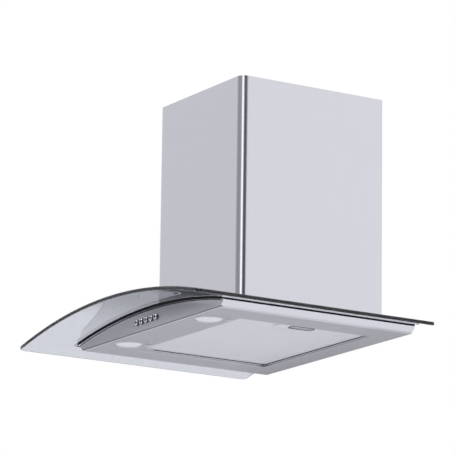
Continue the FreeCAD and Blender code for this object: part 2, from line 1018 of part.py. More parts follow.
def filter_hinge_pins():
    """Two short pins, one at each end of the hinge line."""
    _, _, y0, y1 = filter_span(0)
    reach = filter_side_gap + canopy_sheet + hinge_pin_end
    inside = hinge_pin_inside
    front = cylinder(
        filter_pin_radius, V(hinge_x, y0 - reach, hinge_z), Y_AXIS, reach + inside
    )
    rear = cylinder(
        filter_pin_radius, V(hinge_x, y1 - inside, hinge_z), Y_AXIS, reach + inside
    )
    return group([front, rear])


def latch_bolt_z():
    return filter_recess + latch_bolt_above_face


def latch_case_box():
    """Outline of the latch case: x0, x1, y0, y1."""
    x1 = filter_right_x - latch_plate_edge
    return (
        x1 - latch_plate_x,
        x1,
        latch_centre_y - latch_plate_y / 2,
        latch_centre_y + latch_plate_y / 2,
    )


def latch_case_space(gap):
    x0, x1, y0, y1 = latch_case_box()
    return block(x0 - gap, x1 + gap, y0 - gap, y1 + gap, filter_recess - 1, filter_top + 1)


def latch_bolt_passage():
    """Way for the bolt from the latch case out through the frame's right side."""
    _, x1, _, _ = latch_case_box()
    side = latch_bolt_width / 2 + latch_passage_gap
    z = latch_bolt_z()
    return block(
        x1 - 1,
        filter_right_x + 1,
        latch_centre_y - side,
        latch_centre_y + side,
        z - latch_passage_gap,
        z + latch_bolt_height + latch_passage_gap,
    )


def latch_case():
    """Pressed case that fills a window in the filter, with an oblong hole for a finger."""
    x0, x1, y0, y1 = latch_case_box()
    t = latch_plate_sheet
    r = latch_case_round
    z1 = filter_top - latch_case_below_top
    body = rounded_prism(x0, x1, y0, y1, filter_recess, z1, r)
    hollow = rounded_prism(x0 + t, x1 - t, y0 + t, y1 - t, filter_recess + t, z1 - t, r - t)
    centre_x = (x0 + x1) / 2
    half_x, half_y = latch_window_x / 2, latch_window_y / 2
    window = rounded_prism(
        centre_x - half_x,
        centre_x + half_x,
        latch_window_centre_y() - half_y,
        latch_window_centre_y() + half_y,
        0,
        filter_recess + t + 0.1,
        latch_window_round,
    )
    return body.cut([hollow, window, latch_bolt_passage()]).fuse(latch_flange(0))


def latch_window_centre_y():
    return latch_centre_y + latch_window_offset


def latch_flange(gap):
    """Tab of the latch case that is welded inside the frame's right channel."""
    _, x1, _, _ = latch_case_box()
    half = latch_plate_y / 2 - latch_tab_inset
    z = filter_recess + filter_frame_sheet
    return block(
        x1 - latch_plate_sheet,
        filter_right_x - 4 + gap,
        latch_centre_y - half - gap,
        latch_centre_y + half + gap,
        z,
        z + latch_plate_sheet + gap,
    )


def latch_slider():
    """Plate behind the window, its finger pad, and a bolt that runs to the collar."""
    x0, x1, _, _ = latch_case_box()
    t = latch_plate_sheet
    centre_x, centre_y = (x0 + x1) / 2, latch_window_centre_y()
    z0 = filter_recess + t + latch_slider_lift
    z1 = z0 + latch_slider_sheet
    left = x0 + t + latch_travel + latch_slider_side_gap
    right = x1 - t - latch_slider_side_gap
    half_y = latch_window_y / 2 + latch_slider_overlap
    plate = block(left, right, centre_y - half_y, centre_y + half_y, z0, z1)
    pad_right = centre_x + latch_window_x / 2 - latch_pad_gap
    pad_left = centre_x - latch_window_x / 2 + latch_travel + latch_pad_gap
    pad_y = latch_window_y / 2 - latch_pad_gap
    pad_face = filter_recess + latch_pad_recess
    pad = rounded_prism(
        pad_left,
        pad_right,
        centre_y - pad_y,
        centre_y + pad_y,
        pad_face,
        z0 + 0.2,
        latch_window_round - latch_pad_gap,
    )
    rim = latch_cup_rim
    cup = rounded_prism(
        pad_left + rim,
        pad_right - rim,
        centre_y - pad_y + rim,
        centre_y + pad_y - rim,
        pad_face - 1,
        pad_face + latch_cup_depth,
        latch_window_round - rim,
    )
    z = latch_bolt_z()
    bolt = block(
        right - 2,
        filter_right_x - latch_nose_gap,
        latch_centre_y - latch_bolt_width / 2,
        latch_centre_y + latch_bolt_width / 2,
        z,
        z + latch_bolt_height,
    )
    nose = [
        e
        for e in edges_at_height(bolt, z + latch_bolt_height)
        if e.BoundBox.XMin > bolt.BoundBox.XMax - 0.01
    ]
    bolt = bolt.makeChamfer(latch_bolt_chamfer, nose)
    return fused([plate.fuse(pad).cut(cup), bolt])


# ---------------------------------------------------------------- blower box


def keyhole(x):
    head = cylinder(keyhole_head_radius, V(x, -5, keyhole_z), Y_AXIS, 10)
    slot = cylinder(keyhole_slot_radius, V(x, -5, keyhole_z + keyhole_drop), Y_AXIS, 10)
    neck = block(
        x - keyhole_slot_radius,
        x + keyhole_slot_radius,
        -5,
        5,
        keyhole_z,
        keyhole_z + keyhole_drop,
    )
    return head.fuse([slot, neck])


def rivet_places():
    edge = box_flange / 2
    sides = [
        (side * (half_box + edge), y)
        for side in (-1, 1)
        for y in (box_front_y + 25, (box_front_y - 10) / 2, -60)
    ]
    front = [(x, box_front_y - edge) for x in (-60, 60)]
    return sides + front


def blower_box():
    """Folded steel box, open below, with an outward flange and a rear plate on the wall."""
    t = box_sheet
    shell = block(-half_box, half_box, box_front_y, 0, box_floor, box_top)
    inside = block(
        -half_box + t, half_box - t, box_front_y + t, -t, box_floor - 1, box_top - t
    )
    flange = block(
        -half_box - box_flange,
        half_box + box_flange,
        box_front_y - box_flange,
        -t,
        box_floor,
        box_floor + t,
    )
    hanger = block(-half_box, half_box, -t, 0, box_top - t, box_top + hanger_height)
    hanger = hanger.makeFillet(
        8.0,
        [
            e
            for e in hanger.Edges
            if e.BoundBox.YLength > t * 0.9 and e.BoundBox.ZMin > box_top
            and e.BoundBox.ZLength < 0.01 and e.BoundBox.XLength < 0.01
        ],
    )
    body = fused([shell, flange, hanger]).cut(inside)
    outlet_y0 = duct_collar_y - scroll_outlet / 2
    outlet = block(
        -scroll_half_width,
        scroll_half_width,
        outlet_y0,
        outlet_y0 + scroll_outlet,
        box_top - 5,
        box_top + 5,
    )
    holes = [
        cylinder(fixing_hole_radius, V(x, -5, z), Y_AXIS, 10)
        for x in (-fixing_spacing_x / 2, fixing_spacing_x / 2)
        for z in (fixing_low, fixing_high)
    ]
    holes += [keyhole(-keyhole_x), keyhole(keyhole_x)]
    holes += [
        cylinder(rivet_radius, V(x, y, box_floor - 1), Z_AXIS, 4) for x, y in rivet_places()
    ]
    holes += [
        cylinder(screw_shank, V(x, y, box_top - 4), Z_AXIS, 8) for x, y in collar_screw_places()
    ]
    return body.cut([outlet] + holes)


def base_plate():
    """Steel sheet that joins the blower box to the collar round the filter."""
    side = filter_right_x + base_plate_margin
    front = filter_front_y - base_plate_margin
    plate = block(-side, side, front, rear_y - 1, collar_top, box_floor)
    mouth = rounded_prism(
        -half_box + 6,
        half_box - 6,
        box_front_y + 8,
        filter_rear_y - filter_closing_overlap,
        collar_top - 1,
        box_floor + 1,
        6.0,
    )
    holes = [
        cylinder(rivet_radius, V(x, y, collar_top - 1), Z_AXIS, 4) for x, y in rivet_places()
    ]
    return plate.cut([mouth] + holes)


def box_rivets():
    rivets = []
    for x, y in rivet_places():
        top = box_floor + box_sheet
        shank = cylinder(rivet_radius, V(x, y, collar_top), Z_AXIS, top - collar_top)
        head = Part.makeCone(3.2, 2.0, 0.9, V(x, y, top), Z_AXIS)
        tail = cylinder(2.4, V(x, y, collar_top - 0.4), Z_AXIS, 0.4)
        rivets.append(shank.fuse([head, tail]))
    return group(rivets)


# ---------------------------------------------------------------- scroll and wheel


def arc_yz(x, cy, cz, radius, a0, a1):
    """Arc about the point cy, cz in the plane at x, from a0 to a1 degrees off +Y."""

    def at(angle):
        rad = math.radians(angle)
        return V(x, cy + radius * math.cos(rad), cz + radius * math.sin(rad))

    return Part.Arc(at(a0), at((a0 + a1) / 2), at(a1)).toShape()


def scroll_path(x, offset):
    """Edges of the spiral wall, offset outwards, from the tongue round to the outlet.

    The spiral is three quarter turns whose centres stand on the corners of a square,
    so that each joins the next without a kink and the air's way grows as it goes round.
    """
    half = scroll_step / 2
    r1 = scroll_first_radius
    r2 = r1 + scroll_step
    r3 = r2 + scroll_step
    top_z = wheel_z - half + r1 + offset
    tongue_y = duct_collar_y - scroll_outlet / 2 - offset
    outlet_y = wheel_y + half + r3 + offset
    r = tongue_radius - offset
    turn_z = top_z + r
    roof = box_top - box_sheet
    start = V(x, tongue_y, roof)
    after_turn = V(x, tongue_y - r, top_z)
    first = V(x, wheel_y - half, top_z)
    return [
        Part.makeLine(start, V(x, tongue_y, turn_z)),
        arc_yz(x, tongue_y - r, turn_z, r, 0, -90),
        Part.makeLine(after_turn, first),
        arc_yz(x, wheel_y - half, wheel_z - half, r1 + offset, 90, 180),
        arc_yz(x, wheel_y + half, wheel_z - half, r2 + offset, 180, 270),
        arc_yz(x, wheel_y + half, wheel_z + half, r3 + offset, 270, 360),
        Part.makeLine(V(x, outlet_y, wheel_z + half), V(x, outlet_y, roof)),
    ]


def scroll_ends(x, offset):
    roof = box_top - box_sheet
    outlet_y = wheel_y + scroll_step / 2 + scroll_last_radius + offset
    return V(x, duct_collar_y - scroll_outlet / 2 - offset, roof), V(x, outlet_y, roof)


def scroll_band():
    """Sheet wound round the wheel, from the tongue to the outlet under the box's roof."""
    x = -scroll_half_width
    inner, outer = scroll_path(x, 0), scroll_path(x, scroll_sheet)
    inner_ends, outer_ends = scroll_ends(x, 0), scroll_ends(x, scroll_sheet)
    ends = [Part.makeLine(inner_ends[i], outer_ends[i]) for i in (0, 1)]
    wire = Part.Wire(Part.__sortEdges__(inner + outer + ends))
    return Part.Face(wire).extrude(V(2 * scroll_half_width, 0, 0))


def scroll_side(side):
    """Pressed side plate whose inlet edge is rolled in towards the wheel."""
    x0 = scroll_half_width if side > 0 else -scroll_half_width - scroll_sheet
    outer = scroll_path(x0, scroll_sheet)
    ends = scroll_ends(x0, scroll_sheet)
    wire = Part.Wire(Part.__sortEdges__(outer + [Part.makeLine(*ends)]))
    plate = Part.Face(wire).extrude(V(scroll_sheet, 0, 0))
    mouth = throat_radius + throat_round
    holes = [cylinder(mouth, V(x0 - 1, wheel_y, wheel_z), X_AXIS, scroll_sheet + 2)]
    if side < 0:
        holes += [
            cylinder(screw_shank, at_angle(spider_foot_radius, a, x0 - 1), X_AXIS, 3)
            for a in spider_angles()
        ]
    plate = plate.cut(holes)
    return plate.fuse(rolled_throat(side)).removeSplitter()


def rolled_throat(side):
    """The inlet's rolled edge: a quarter round that narrows towards the wheel."""
    x_out = side * (scroll_half_width + scroll_sheet)
    big = throat_round
    small = throat_round - scroll_sheet
    centre_x = x_out - side * big
    centre_r = throat_radius + big

    def at(radius, degrees):
        rad = math.radians(degrees)
        return V(
            centre_x + side * radius * math.cos(rad),
            wheel_y,
            wheel_z + centre_r - radius * math.sin(rad),
        )

    outer = Part.Arc(at(big, 0), at(big, 45), at(big, 90)).toShape()
    inner = Part.Arc(at(small, 0), at(small, 45), at(small, 90)).toShape()
    ends = [Part.makeLine(at(big, a), at(small, a)) for a in (0, 90)]
    face = Part.Face(Part.Wire(Part.__sortEdges__([outer, inner] + ends)))
    return face.revolve(V(0, wheel_y, wheel_z), X_AXIS, 360)


def blade():
    """One forward-curved blade: an arc of sheet between the inner and outer radius."""
    depth = wheel_radius - wheel_inner_radius - 0.4
    bow = depth * 0.62
    x0 = -wheel_half_width + wheel_sheet * 0.5
    length = 2 * wheel_half_width - wheel_sheet
    foot_z = wheel_z + wheel_inner_radius + 0.2
    tip_z = foot_z + depth

    def bent(offset):
        return Part.Arc(
            V(x0, wheel_y + offset, foot_z),
            V(x0, wheel_y - bow * 0.5 + offset, foot_z + depth * 0.52),
            V(x0, wheel_y - bow * 0.2 + offset, tip_z),
        ).toShape()

    near, far = bent(0), bent(blade_sheet)
    ends = [
        Part.makeLine(near.Vertexes[i].Point, far.Vertexes[i].Point) for i in (0, 1)
    ]
    face = Part.Face(Part.Wire(Part.__sortEdges__([near, far] + ends)))
    return face.extrude(V(length, 0, 0))


def impeller():
    """Double-inlet wheel: curved blades through a middle disc, held by a ring at each end."""
    centre = V(0, wheel_y, wheel_z)
    first = blade()
    blades = []
    for i in range(blade_count):
        turned = first.copy()
        turned.rotate(centre, X_AXIS, 360.0 * i / blade_count)
        blades.append(turned)
    disc = cylinder(
        wheel_radius, V(-wheel_sheet / 2, wheel_y, wheel_z), X_AXIS, wheel_sheet
    )
    rings = []
    for side in (-1, 1):
        x0 = side * wheel_half_width - (wheel_sheet if side > 0 else 0)
        rings.append(
            tube(wheel_radius, wheel_inner_radius, V(x0, wheel_y, wheel_z), X_AXIS, wheel_sheet)
        )
    hub = cylinder(hub_radius, V(-hub_length / 4, wheel_y, wheel_z), X_AXIS, hub_length)
    wheel = fused([disc, hub] + rings + blades)
    bore = cylinder(shaft_radius, V(-60, wheel_y, wheel_z), X_AXIS, 120)
    return wheel.cut([bore] + cooling_holes())


def cooling_holes():
    holes = []
    for i in range(6):
        angle = math.radians(60 * i)
        y = wheel_y + 28 * math.cos(angle)
        z = wheel_z + 28 * math.sin(angle)
        holes.append(cylinder(7.0, V(-5, y, z), X_AXIS, 10))
    return holes


def motor_span():
    """The motor stands inside the wheel's left half and out through the left inlet."""
    x1 = -motor_clearance
    return x1 - motor_length, x1


def motor_case():
    x0, x1 = motor_span()
    half = motor_length / 2
    body = cylinder(motor_radius, V(x0, wheel_y, wheel_z), X_AXIS, motor_length)
    rims = [e for e in body.Edges if e.BoundBox.XLength < 0.01]
    body = body.makeFillet(motor_rim_round, rims)
    waist = tube(
        motor_radius + 1, motor_radius - 1.2, V(x0 + half - 4, wheel_y, wheel_z), X_AXIS, 14
    )
    body = body.cut(waist)
    seats = [
        cylinder(bearing_radius, V(x0 - 1, wheel_y, wheel_z), X_AXIS, bearing_length + 1),
        cylinder(
            bearing_radius, V(x1 - bearing_length, wheel_y, wheel_z), X_AXIS, bearing_length + 1
        ),
        cylinder(
            shaft_radius + 1.0, V(x0 - 1, wheel_y, wheel_z), X_AXIS, motor_length + 2
        ),
    ]
    return body.cut(seats)


def motor_bearings():
    x0, x1 = motor_span()
    bore = shaft_radius + shaft_running_gap
    starts = (x0, x1 - bearing_length)
    return group(
        tube(bearing_radius, bore, V(x, wheel_y, wheel_z), X_AXIS, bearing_length)
        for x in starts
    )


def motor_shaft():
    x0, _ = motor_span()
    end = hub_length * 0.75 + 7
    shaft = cylinder(shaft_radius, V(x0 - 3, wheel_y, wheel_z), X_AXIS, end - x0 + 3)
    return shaft.makeChamfer(0.6, [e for e in shaft.Edges if e.BoundBox.XLength < 0.01])


def impeller_nut():
    x0 = hub_length * 0.75
    nut = hexagon(14.0, 5.0, V(0, 0, 0))
    nut.rotate(V(0, 0, 0), Y_AXIS, 90)
    nut.translate(V(x0, wheel_y, wheel_z))
    return nut.cut(cylinder(shaft_radius, V(x0 - 1, wheel_y, wheel_z), X_AXIS, 8))


def spider_angles():
    return (30, 150, 270)


def at_angle(radius, degrees, x):
    rad = math.radians(degrees)
    return V(x, wheel_y + radius * math.cos(rad), wheel_z + radius * math.sin(rad))


def spider_x():
    return -scroll_half_width - scroll_sheet - grommet_height - spider_sheet


def motor_bracket():
    """Three-armed spider that clamps the motor and stands on the left side plate."""
    x0 = spider_x()
    outer = motor_radius + spider_ring
    parts = [cylinder(outer, V(x0, wheel_y, wheel_z), X_AXIS, spider_sheet)]
    for angle in spider_angles():
        arm = Part.makeBox(
            spider_sheet,
            spider_foot_radius,
            spider_arm_width,
            V(x0, wheel_y, wheel_z - spider_arm_width / 2),
        )
        arm.rotate(V(0, wheel_y, wheel_z), X_AXIS, angle)
        foot = cylinder(
            spider_arm_width / 2, at_angle(spider_foot_radius, angle, x0), X_AXIS, spider_sheet
        )
        parts += [arm, foot]
    spider = fused(parts)
    holes = [
        cylinder(motor_radius, V(x0 - 1, wheel_y, wheel_z), X_AXIS, spider_sheet + 2)
    ]
    holes += [
        cylinder(screw_shank, at_angle(spider_foot_radius, a, x0 - 1), X_AXIS, 5)
        for a in spider_angles()
    ]
    return spider.cut(holes)


def motor_grommets():
    x0 = spider_x() + spider_sheet
    grommets = []
    for angle in spider_angles():
        start = at_angle(spider_foot_radius, angle, x0)
        grommet = tube(grommet_radius, screw_shank, start, X_AXIS, grommet_height)
        waist = tube(
            grommet_radius + 1,
            grommet_radius - 1.2,
            at_angle(spider_foot_radius, angle, x0 + 1.6),
            X_AXIS,
            grommet_height - 3.2,
        )
        grommets.append(grommet.cut(waist))
    return group(grommets)


def motor_screws():
    x0 = spider_x()
    return group(
        pan_head_screw(
            at_angle(spider_foot_radius, a, x0), X_AXIS, motor_screw_length
        )
        for a in spider_angles()
    )


# ---------------------------------------------------------------- duct collar and flaps


def collar_screw_places():
    reach = duct_collar_flange - 8
    return [
        (x, duct_collar_y + y) for x in (-reach, reach) for y in (-reach, reach)
    ]


def duct_collar():
    """Round spigot on a square foot, with a ledge that the closed flaps lie on."""
    centre = V(0, duct_collar_y, box_top)
    foot = rounded_prism(
        -duct_collar_flange,
        duct_collar_flange,
        duct_collar_y - duct_collar_flange,
        duct_collar_y + duct_collar_flange,
        box_top,
        box_top + collar_foot_sheet,
        10.0,
    )
    wall = cylinder(duct_collar_radius, centre, Z_AXIS, duct_collar_height)
    bore = duct_collar_radius - duct_collar_wall
    ledge_z = flap_axle_z - flap_thickness / 2 - 2.0
    hollow = cylinder(bore, V(0, duct_collar_y, box_top - 1), Z_AXIS, duct_collar_height + 2)
    ledge = tube(bore + 0.5, bore - 3.0, V(0, duct_collar_y, ledge_z), Z_AXIS, 1.6)
    gap = flap_knuckle_radius + flap_knuckle_gap + 1.0
    ledge = ledge.cut(
        block(-90, 90, duct_collar_y - gap, duct_collar_y + gap, ledge_z - 1, ledge_z + 3)
    )
    body = foot.fuse(wall).cut(hollow).fuse(ledge).removeSplitter()
    axle = cylinder(
        flap_axle_radius, V(-90, duct_collar_y, flap_axle_z), X_AXIS, 180
    )
    screws = [
        cylinder(screw_shank, V(x, y, box_top - 1), Z_AXIS, 5) for x, y in collar_screw_places()
    ]
    return body.cut([axle] + screws)


def roof_screws():
    """Alike screws that hold the duct collar's foot and the terminal box's lid."""
    lid_top = box_top + terminal_box_height + terminal_lid_sheet
    places = [V(x, y, box_top + collar_foot_sheet) for x, y in collar_screw_places()]
    places += [V(x, y, lid_top) for x, y in terminal_screw_places()]
    return group(pan_head_screw(place, V(0, 0, -1), roof_screw_length) for place in places)


def flap_axle():
    reach = duct_collar_radius - 0.4
    return cylinder(
        flap_axle_radius, V(-reach, duct_collar_y, flap_axle_z), X_AXIS, 2 * reach
    )


def knuckle_spans(side):
    """Where each flap's knuckles stand along the axle: they take turns."""
    if side < 0:
        return ((-58.0, -34.0), (6.0, 30.0))
    return ((-30.0, -6.0), (34.0, 58.0))


def damper_flap(side):
    """Half-round non-return flap that hangs on the axle and lies on the collar's ledge."""
    radius = duct_collar_radius - duct_collar_wall - flap_edge_gap
    z0 = flap_axle_z - flap_thickness / 2
    disc = cylinder(radius, V(0, duct_collar_y, z0), Z_AXIS, flap_thickness)
    clear = flap_knuckle_radius + flap_knuckle_gap
    if side < 0:
        other_half = block(-90, 90, duct_collar_y - clear, duct_collar_y + 90, z0 - 1, z0 + 3)
    else:
        other_half = block(-90, 90, duct_collar_y - 90, duct_collar_y + clear, z0 - 1, z0 + 3)
    plate = disc.cut(other_half)
    parts = [plate]
    for x0, x1 in knuckle_spans(side):
        sleeve = cylinder(
            flap_knuckle_radius, V(x0, duct_collar_y, flap_axle_z), X_AXIS, x1 - x0
        )
        reach = clear + 1.0
        y0 = duct_collar_y - reach if side < 0 else duct_collar_y
        web = block(x0, x1, y0, y0 + reach, z0, z0 + flap_thickness)
        parts += [sleeve, web]
    bore = cylinder(
        flap_axle_radius + flap_running_gap, V(-90, duct_collar_y, flap_axle_z), X_AXIS, 180
    )
    return fused(parts).cut(bore)


# ---------------------------------------------------------------- chimney covers


def cover_section(half_width, front, rear, corner, sheet, returned, z):
    """Plan of a cover: a U with round front corners and inward returns at the wall."""
    outer = rounded_front(half_width, front, rear, corner, z)
    inner = rounded_front(
        half_width - sheet, front + sheet, rear - sheet, corner - sheet, z
    )
    opening = block(
        -half_width + returned, half_width - returned, rear - 2 * sheet, rear + 1, z - 1, z + 1
    )
    return outer.cut(inner).cut(opening)


def rounded_front(half_width, front, rear, corner, z):
    edges = [
        Part.makeLine(V(half_width, rear, z), V(-half_width, rear, z)),
        Part.makeLine(V(-half_width, rear, z), V(-half_width, front + corner, z)),
        quarter(-half_width + corner, front + corner, corner, 180, z),
        Part.makeLine(V(-half_width + corner, front, z), V(half_width - corner, front, z)),
        quarter(half_width - corner, front + corner, corner, 270, z),
        Part.makeLine(V(half_width, front + corner, z), V(half_width, rear, z)),
    ]
    return Part.Face(Part.Wire(Part.__sortEdges__(edges)))


def quarter(cx, cy, radius, start, z):
    def at(degrees):
        rad = math.radians(degrees)
        return V(cx + radius * math.cos(rad), cy + radius * math.sin(rad), z)

    return Part.Arc(at(start), at(start + 45), at(start + 90)).toShape()


def lower_cover():
    """Lower chimney cover, whose bottom edge is cut to the arch and stands on the glass."""
    section = cover_section(
        chimney_width / 2,
        -chimney_depth,
        0,
        chimney_corner_radius,
        chimney_sheet,
        chimney_return,
        0,
    )
    cover = section.extrude(V(0, 0, chimney_top))
    below_glass_top = under_arch(glass_top_radius, -chimney_depth - 5, 5)
    return cover.cut(below_glass_top)


def upper_half_width():
    return chimney_width / 2 - chimney_sheet - upper_cover_gap


def upper_cover():
    """Telescoping cover, stowed inside the lower one, with vent slots near its top."""
    half = upper_half_width()
    front = -chimney_depth + chimney_sheet + upper_cover_gap
    corner = chimney_corner_radius - chimney_sheet - upper_cover_gap
    top = chimney_top - upper_cover_below_top
    section = cover_section(
        half, front, -upper_return_gap, corner, chimney_sheet, upper_return, upper_cover_bottom
    )
    cover = section.extrude(V(0, 0, top - upper_cover_bottom))
    middle_y = -chimney_depth / 2
    slots = []
    for i in range(vent_slot_count):
        z = top - 18 - i * vent_slot_pitch
        slot = block(
            -half - 2,
            half + 2,
            middle_y - vent_slot_length / 2,
            middle_y + vent_slot_length / 2,
            z - vent_slot_height,
            z,
        )
        slots.append(slot)
    return cover.cut(slots)


def chimney_bracket():
    """Wall strap whose stepped ends trap the lower cover's returns."""
    t = bracket_sheet
    flat_half = chimney_width / 2 - chimney_return - 5.0
    end_half = chimney_width / 2 - chimney_return + 6.0
    end_rear = -chimney_sheet - 0.2
    strap = block(-flat_half, flat_half, -t, 0, bracket_low, bracket_high)
    ends = []
    for side in (-1, 1):
        x0, x1 = sorted((side * (flat_half - t), side * end_half))
        ends.append(block(x0, x1, end_rear - t, end_rear, bracket_low, bracket_high))
        x0, x1 = sorted((side * (flat_half - t), side * flat_half))
        ends.append(block(x0, x1, end_rear, 0, bracket_low, bracket_high))
    holes = [
        cylinder(
            bracket_hole_radius,
            V(x, -5, (bracket_low + bracket_high) / 2),
            Y_AXIS,
            10,
        )
        for x in (-bracket_hole_spacing / 2, bracket_hole_spacing / 2)
    ]
    return fused([strap] + ends).cut(holes)


# ---------------------------------------------------------------- electrics on the box


def gland_centre():
    x0, x1 = terminal_box_x
    y0, y1 = terminal_box_y
    return x0 + gland_from_box_end, (y0 + y1) / 2


def terminal_box():
    x0, x1 = terminal_box_x
    y0, y1 = terminal_box_y
    t = terminal_wall
    top = box_top + terminal_box_height
    body = rounded_prism(x0, x1, y0, y1, box_top, top, 3.0)
    hollow = rounded_prism(x0 + t, x1 - t, y0 + t, y1 - t, box_top + t, top + 1, 1.5)
    bosses = [
        cylinder(terminal_boss_radius, V(x, y, box_top + t), Z_AXIS, terminal_box_height - t)
        for x, y in terminal_screw_places()
    ]
    body = body.cut(hollow).fuse(bosses).removeSplitter()
    return body.cut(
        [cylinder(screw_shank, V(x, y, top - 12), Z_AXIS, 14) for x, y in terminal_screw_places()]
    )


def terminal_screw_places():
    x0, x1 = terminal_box_x
    y0, y1 = terminal_box_y
    inset = terminal_boss_inset
    return [(x0 + inset, y0 + inset), (x1 - inset, y1 - inset)]


def terminal_lid():
    x0, x1 = terminal_box_x
    y0, y1 = terminal_box_y
    top = box_top + terminal_box_height
    lid = rounded_prism(x0, x1, y0, y1, top, top + terminal_lid_sheet, 3.0)
    gx, gy = gland_centre()
    holes = [cylinder(gland_thread_radius, V(gx, gy, top - 1), Z_AXIS, 5)]
    holes += [cylinder(screw_shank, V(x, y, top - 1), Z_AXIS, 5) for x, y in terminal_screw_places()]
    return lid.cut(holes)


def terminal_strip():
    """Block of screw terminals on the floor of the terminal box."""
    x0, x1 = terminal_box_x
    y0, y1 = terminal_box_y
    z0 = box_top + terminal_wall
    middle = (y0 + y1) / 2
    strip = block(x0 + 32, x1 - 12, middle - 9, middle + 9, z0, z0 + 14)
    pitch = (x1 - x0 - 44) / 4
    slots = []
    for i in range(1, 4):
        x = x0 + 32 + i * pitch
        slots.append(block(x - 1, x + 1, middle - 10, middle + 10, z0 + 7, z0 + 15))
    return strip.cut(slots)


def cable_gland():
    gx, gy = gland_centre()
    top = box_top + terminal_box_height + terminal_lid_sheet
    thread_foot = V(gx, gy, top - gland_thread_length)
    thread = cylinder(gland_thread_radius, thread_foot, Z_AXIS, gland_thread_length)
    nut = hexagon(2 * gland_hex, gland_nut_height, V(gx, gy, top))
    dome = Part.makeCone(
        gland_hex - 0.5,
        gland_bore_radius + gland_dome_wall,
        gland_height - gland_nut_height,
        V(gx, gy, top + gland_nut_height),
        Z_AXIS,
    )
    locknut_top = top - terminal_lid_sheet
    locknut = hexagon(
        2 * gland_hex, gland_locknut_height, V(gx, gy, locknut_top - gland_locknut_height)
    )
    bore = cylinder(gland_bore_radius, V(gx, gy, top - 20), Z_AXIS, 60)
    return fused([thread, nut, dome, locknut]).cut(bore)


def capacitor_line():
    y0, y1 = terminal_box_y
    return (y0 + y1) / 2, box_top + capacitor_radius + 1.0


def capacitor():
    y, z = capacitor_line()
    can = cylinder(capacitor_radius, V(capacitor_x, y, z), X_AXIS, capacitor_length)
    can = can.makeFillet(2.0, [e for e in can.Edges if e.BoundBox.XLength < 0.01])
    tabs = [
        block(
            capacitor_x + capacitor_length - 1,
            capacitor_x + capacitor_length + 9,
            y + s * 6 - 0.4,
            y + s * 6 + 0.4,
            z - 3,
            z + 3,
        )
        for s in (-1, 1)
    ]
    return fused([can] + tabs)


def capacitor_clip():
    """Sprung band round the capacitor, with a foot on the box's roof."""
    y, z = capacitor_line()
    x0 = capacitor_x + capacitor_length / 2 - 8
    band = tube(capacitor_radius + 1.0, capacitor_radius, V(x0, y, z), X_AXIS, 16)
    foot = block(x0, x0 + 16, y - 24, y + 24, box_top, box_top + 1.0)
    clip = band.fuse(foot)
    return clip.cut(cylinder(capacitor_radius, V(x0 - 1, y, z), X_AXIS, 18)).removeSplitter()


# ---------------------------------------------------------------- writing the pieces

BUTTON_NAMES = ("button_stop", "button_speed_1", "button_speed_2", "button_speed_3", "button_lamp")

PIECES = {
    "glass_canopy": glass_canopy,
    "glass_gasket": glass_gasket,
    "cutout_gasket": cutout_gasket,
    "glass_screws": glass_screws,
    "glass_bushes": glass_bushes,
    "glass_nuts": glass_nuts,
    "top_plate": top_plate,
    "canopy_rim": canopy_rim,
    "canopy_pan": canopy_pan,
    "front_fascia": front_fascia,
    "switch_housing": switch_housing,
    "switch_board": switch_board,
    "lamp_bezel_left": lambda: lamp_bezel(-1),
    "lamp_bezel_right": lambda: lamp_bezel(1),
    "lamp_lens_left": lambda: lamp_lens(-1),
    "lamp_lens_right": lambda: lamp_lens(1),
    "lamp_housing_left": lambda: lamp_housing(-1),
    "lamp_housing_right": lambda: lamp_housing(1),
    "lamp_bulbs": lamp_bulbs,
    "lamp_screws": lamp_screws,
    "lamp_transformer": lamp_transformer,
    "filter_frame": filter_frame,
    "filter_face_mesh": filter_face_mesh,
    "filter_core": filter_core,
    "filter_hinge_pins": filter_hinge_pins,
    "latch_case": latch_case,
    "latch_slider": latch_slider,
    "blower_box": blower_box,
    "base_plate": base_plate,
    "box_rivets": box_rivets,
    "scroll_band": scroll_band,
    "scroll_side_left": lambda: scroll_side(-1),
    "scroll_side_right": lambda: scroll_side(1),
    "impeller": impeller,
    "impeller_nut": impeller_nut,
    "motor_shaft": motor_shaft,
    "motor_case": motor_case,
    "motor_bearings": motor_bearings,
    "motor_bracket": motor_bracket,
    "motor_grommets": motor_grommets,
    "motor_screws": motor_screws,
    "duct_collar": duct_collar,
    "roof_screws": roof_screws,
    "flap_axle": flap_axle,
    "damper_flap_front": lambda: damper_flap(-1),
    "damper_flap_rear": lambda: damper_flap(1),
    "lower_cover": lower_cover,
    "upper_cover": upper_cover,
    "chimney_bracket": chimney_bracket,
    "terminal_box": terminal_box,
    "terminal_lid": terminal_lid,
    "terminal_strip": terminal_strip,
    "cable_gland": cable_gland,
    "capacitor": capacitor,
    "capacitor_clip": capacitor_clip,
}
for number, name in enumerate(BUTTON_NAMES):
    PIECES[name] = lambda number=number: push_button(number)


def write_pieces():
    for name, make in PIECES.items():
        shape = make()
        shape.translate(V(0, 0, -fixings_z))
        shape.exportStep("parts/" + name + ".step")
        print(f"{name:22s} {len(shape.Solids)} solid(s) {shape.Volume:12.1f} mm3")


if __name__ == "__main__":
    write_pieces()
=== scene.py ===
"""Curved glass range hood: finishes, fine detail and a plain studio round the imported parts."""

import math

import bmesh
import bpy
from bpy.props import FloatProperty, FloatVectorProperty, PointerProperty
from mathutils import Matrix, Vector


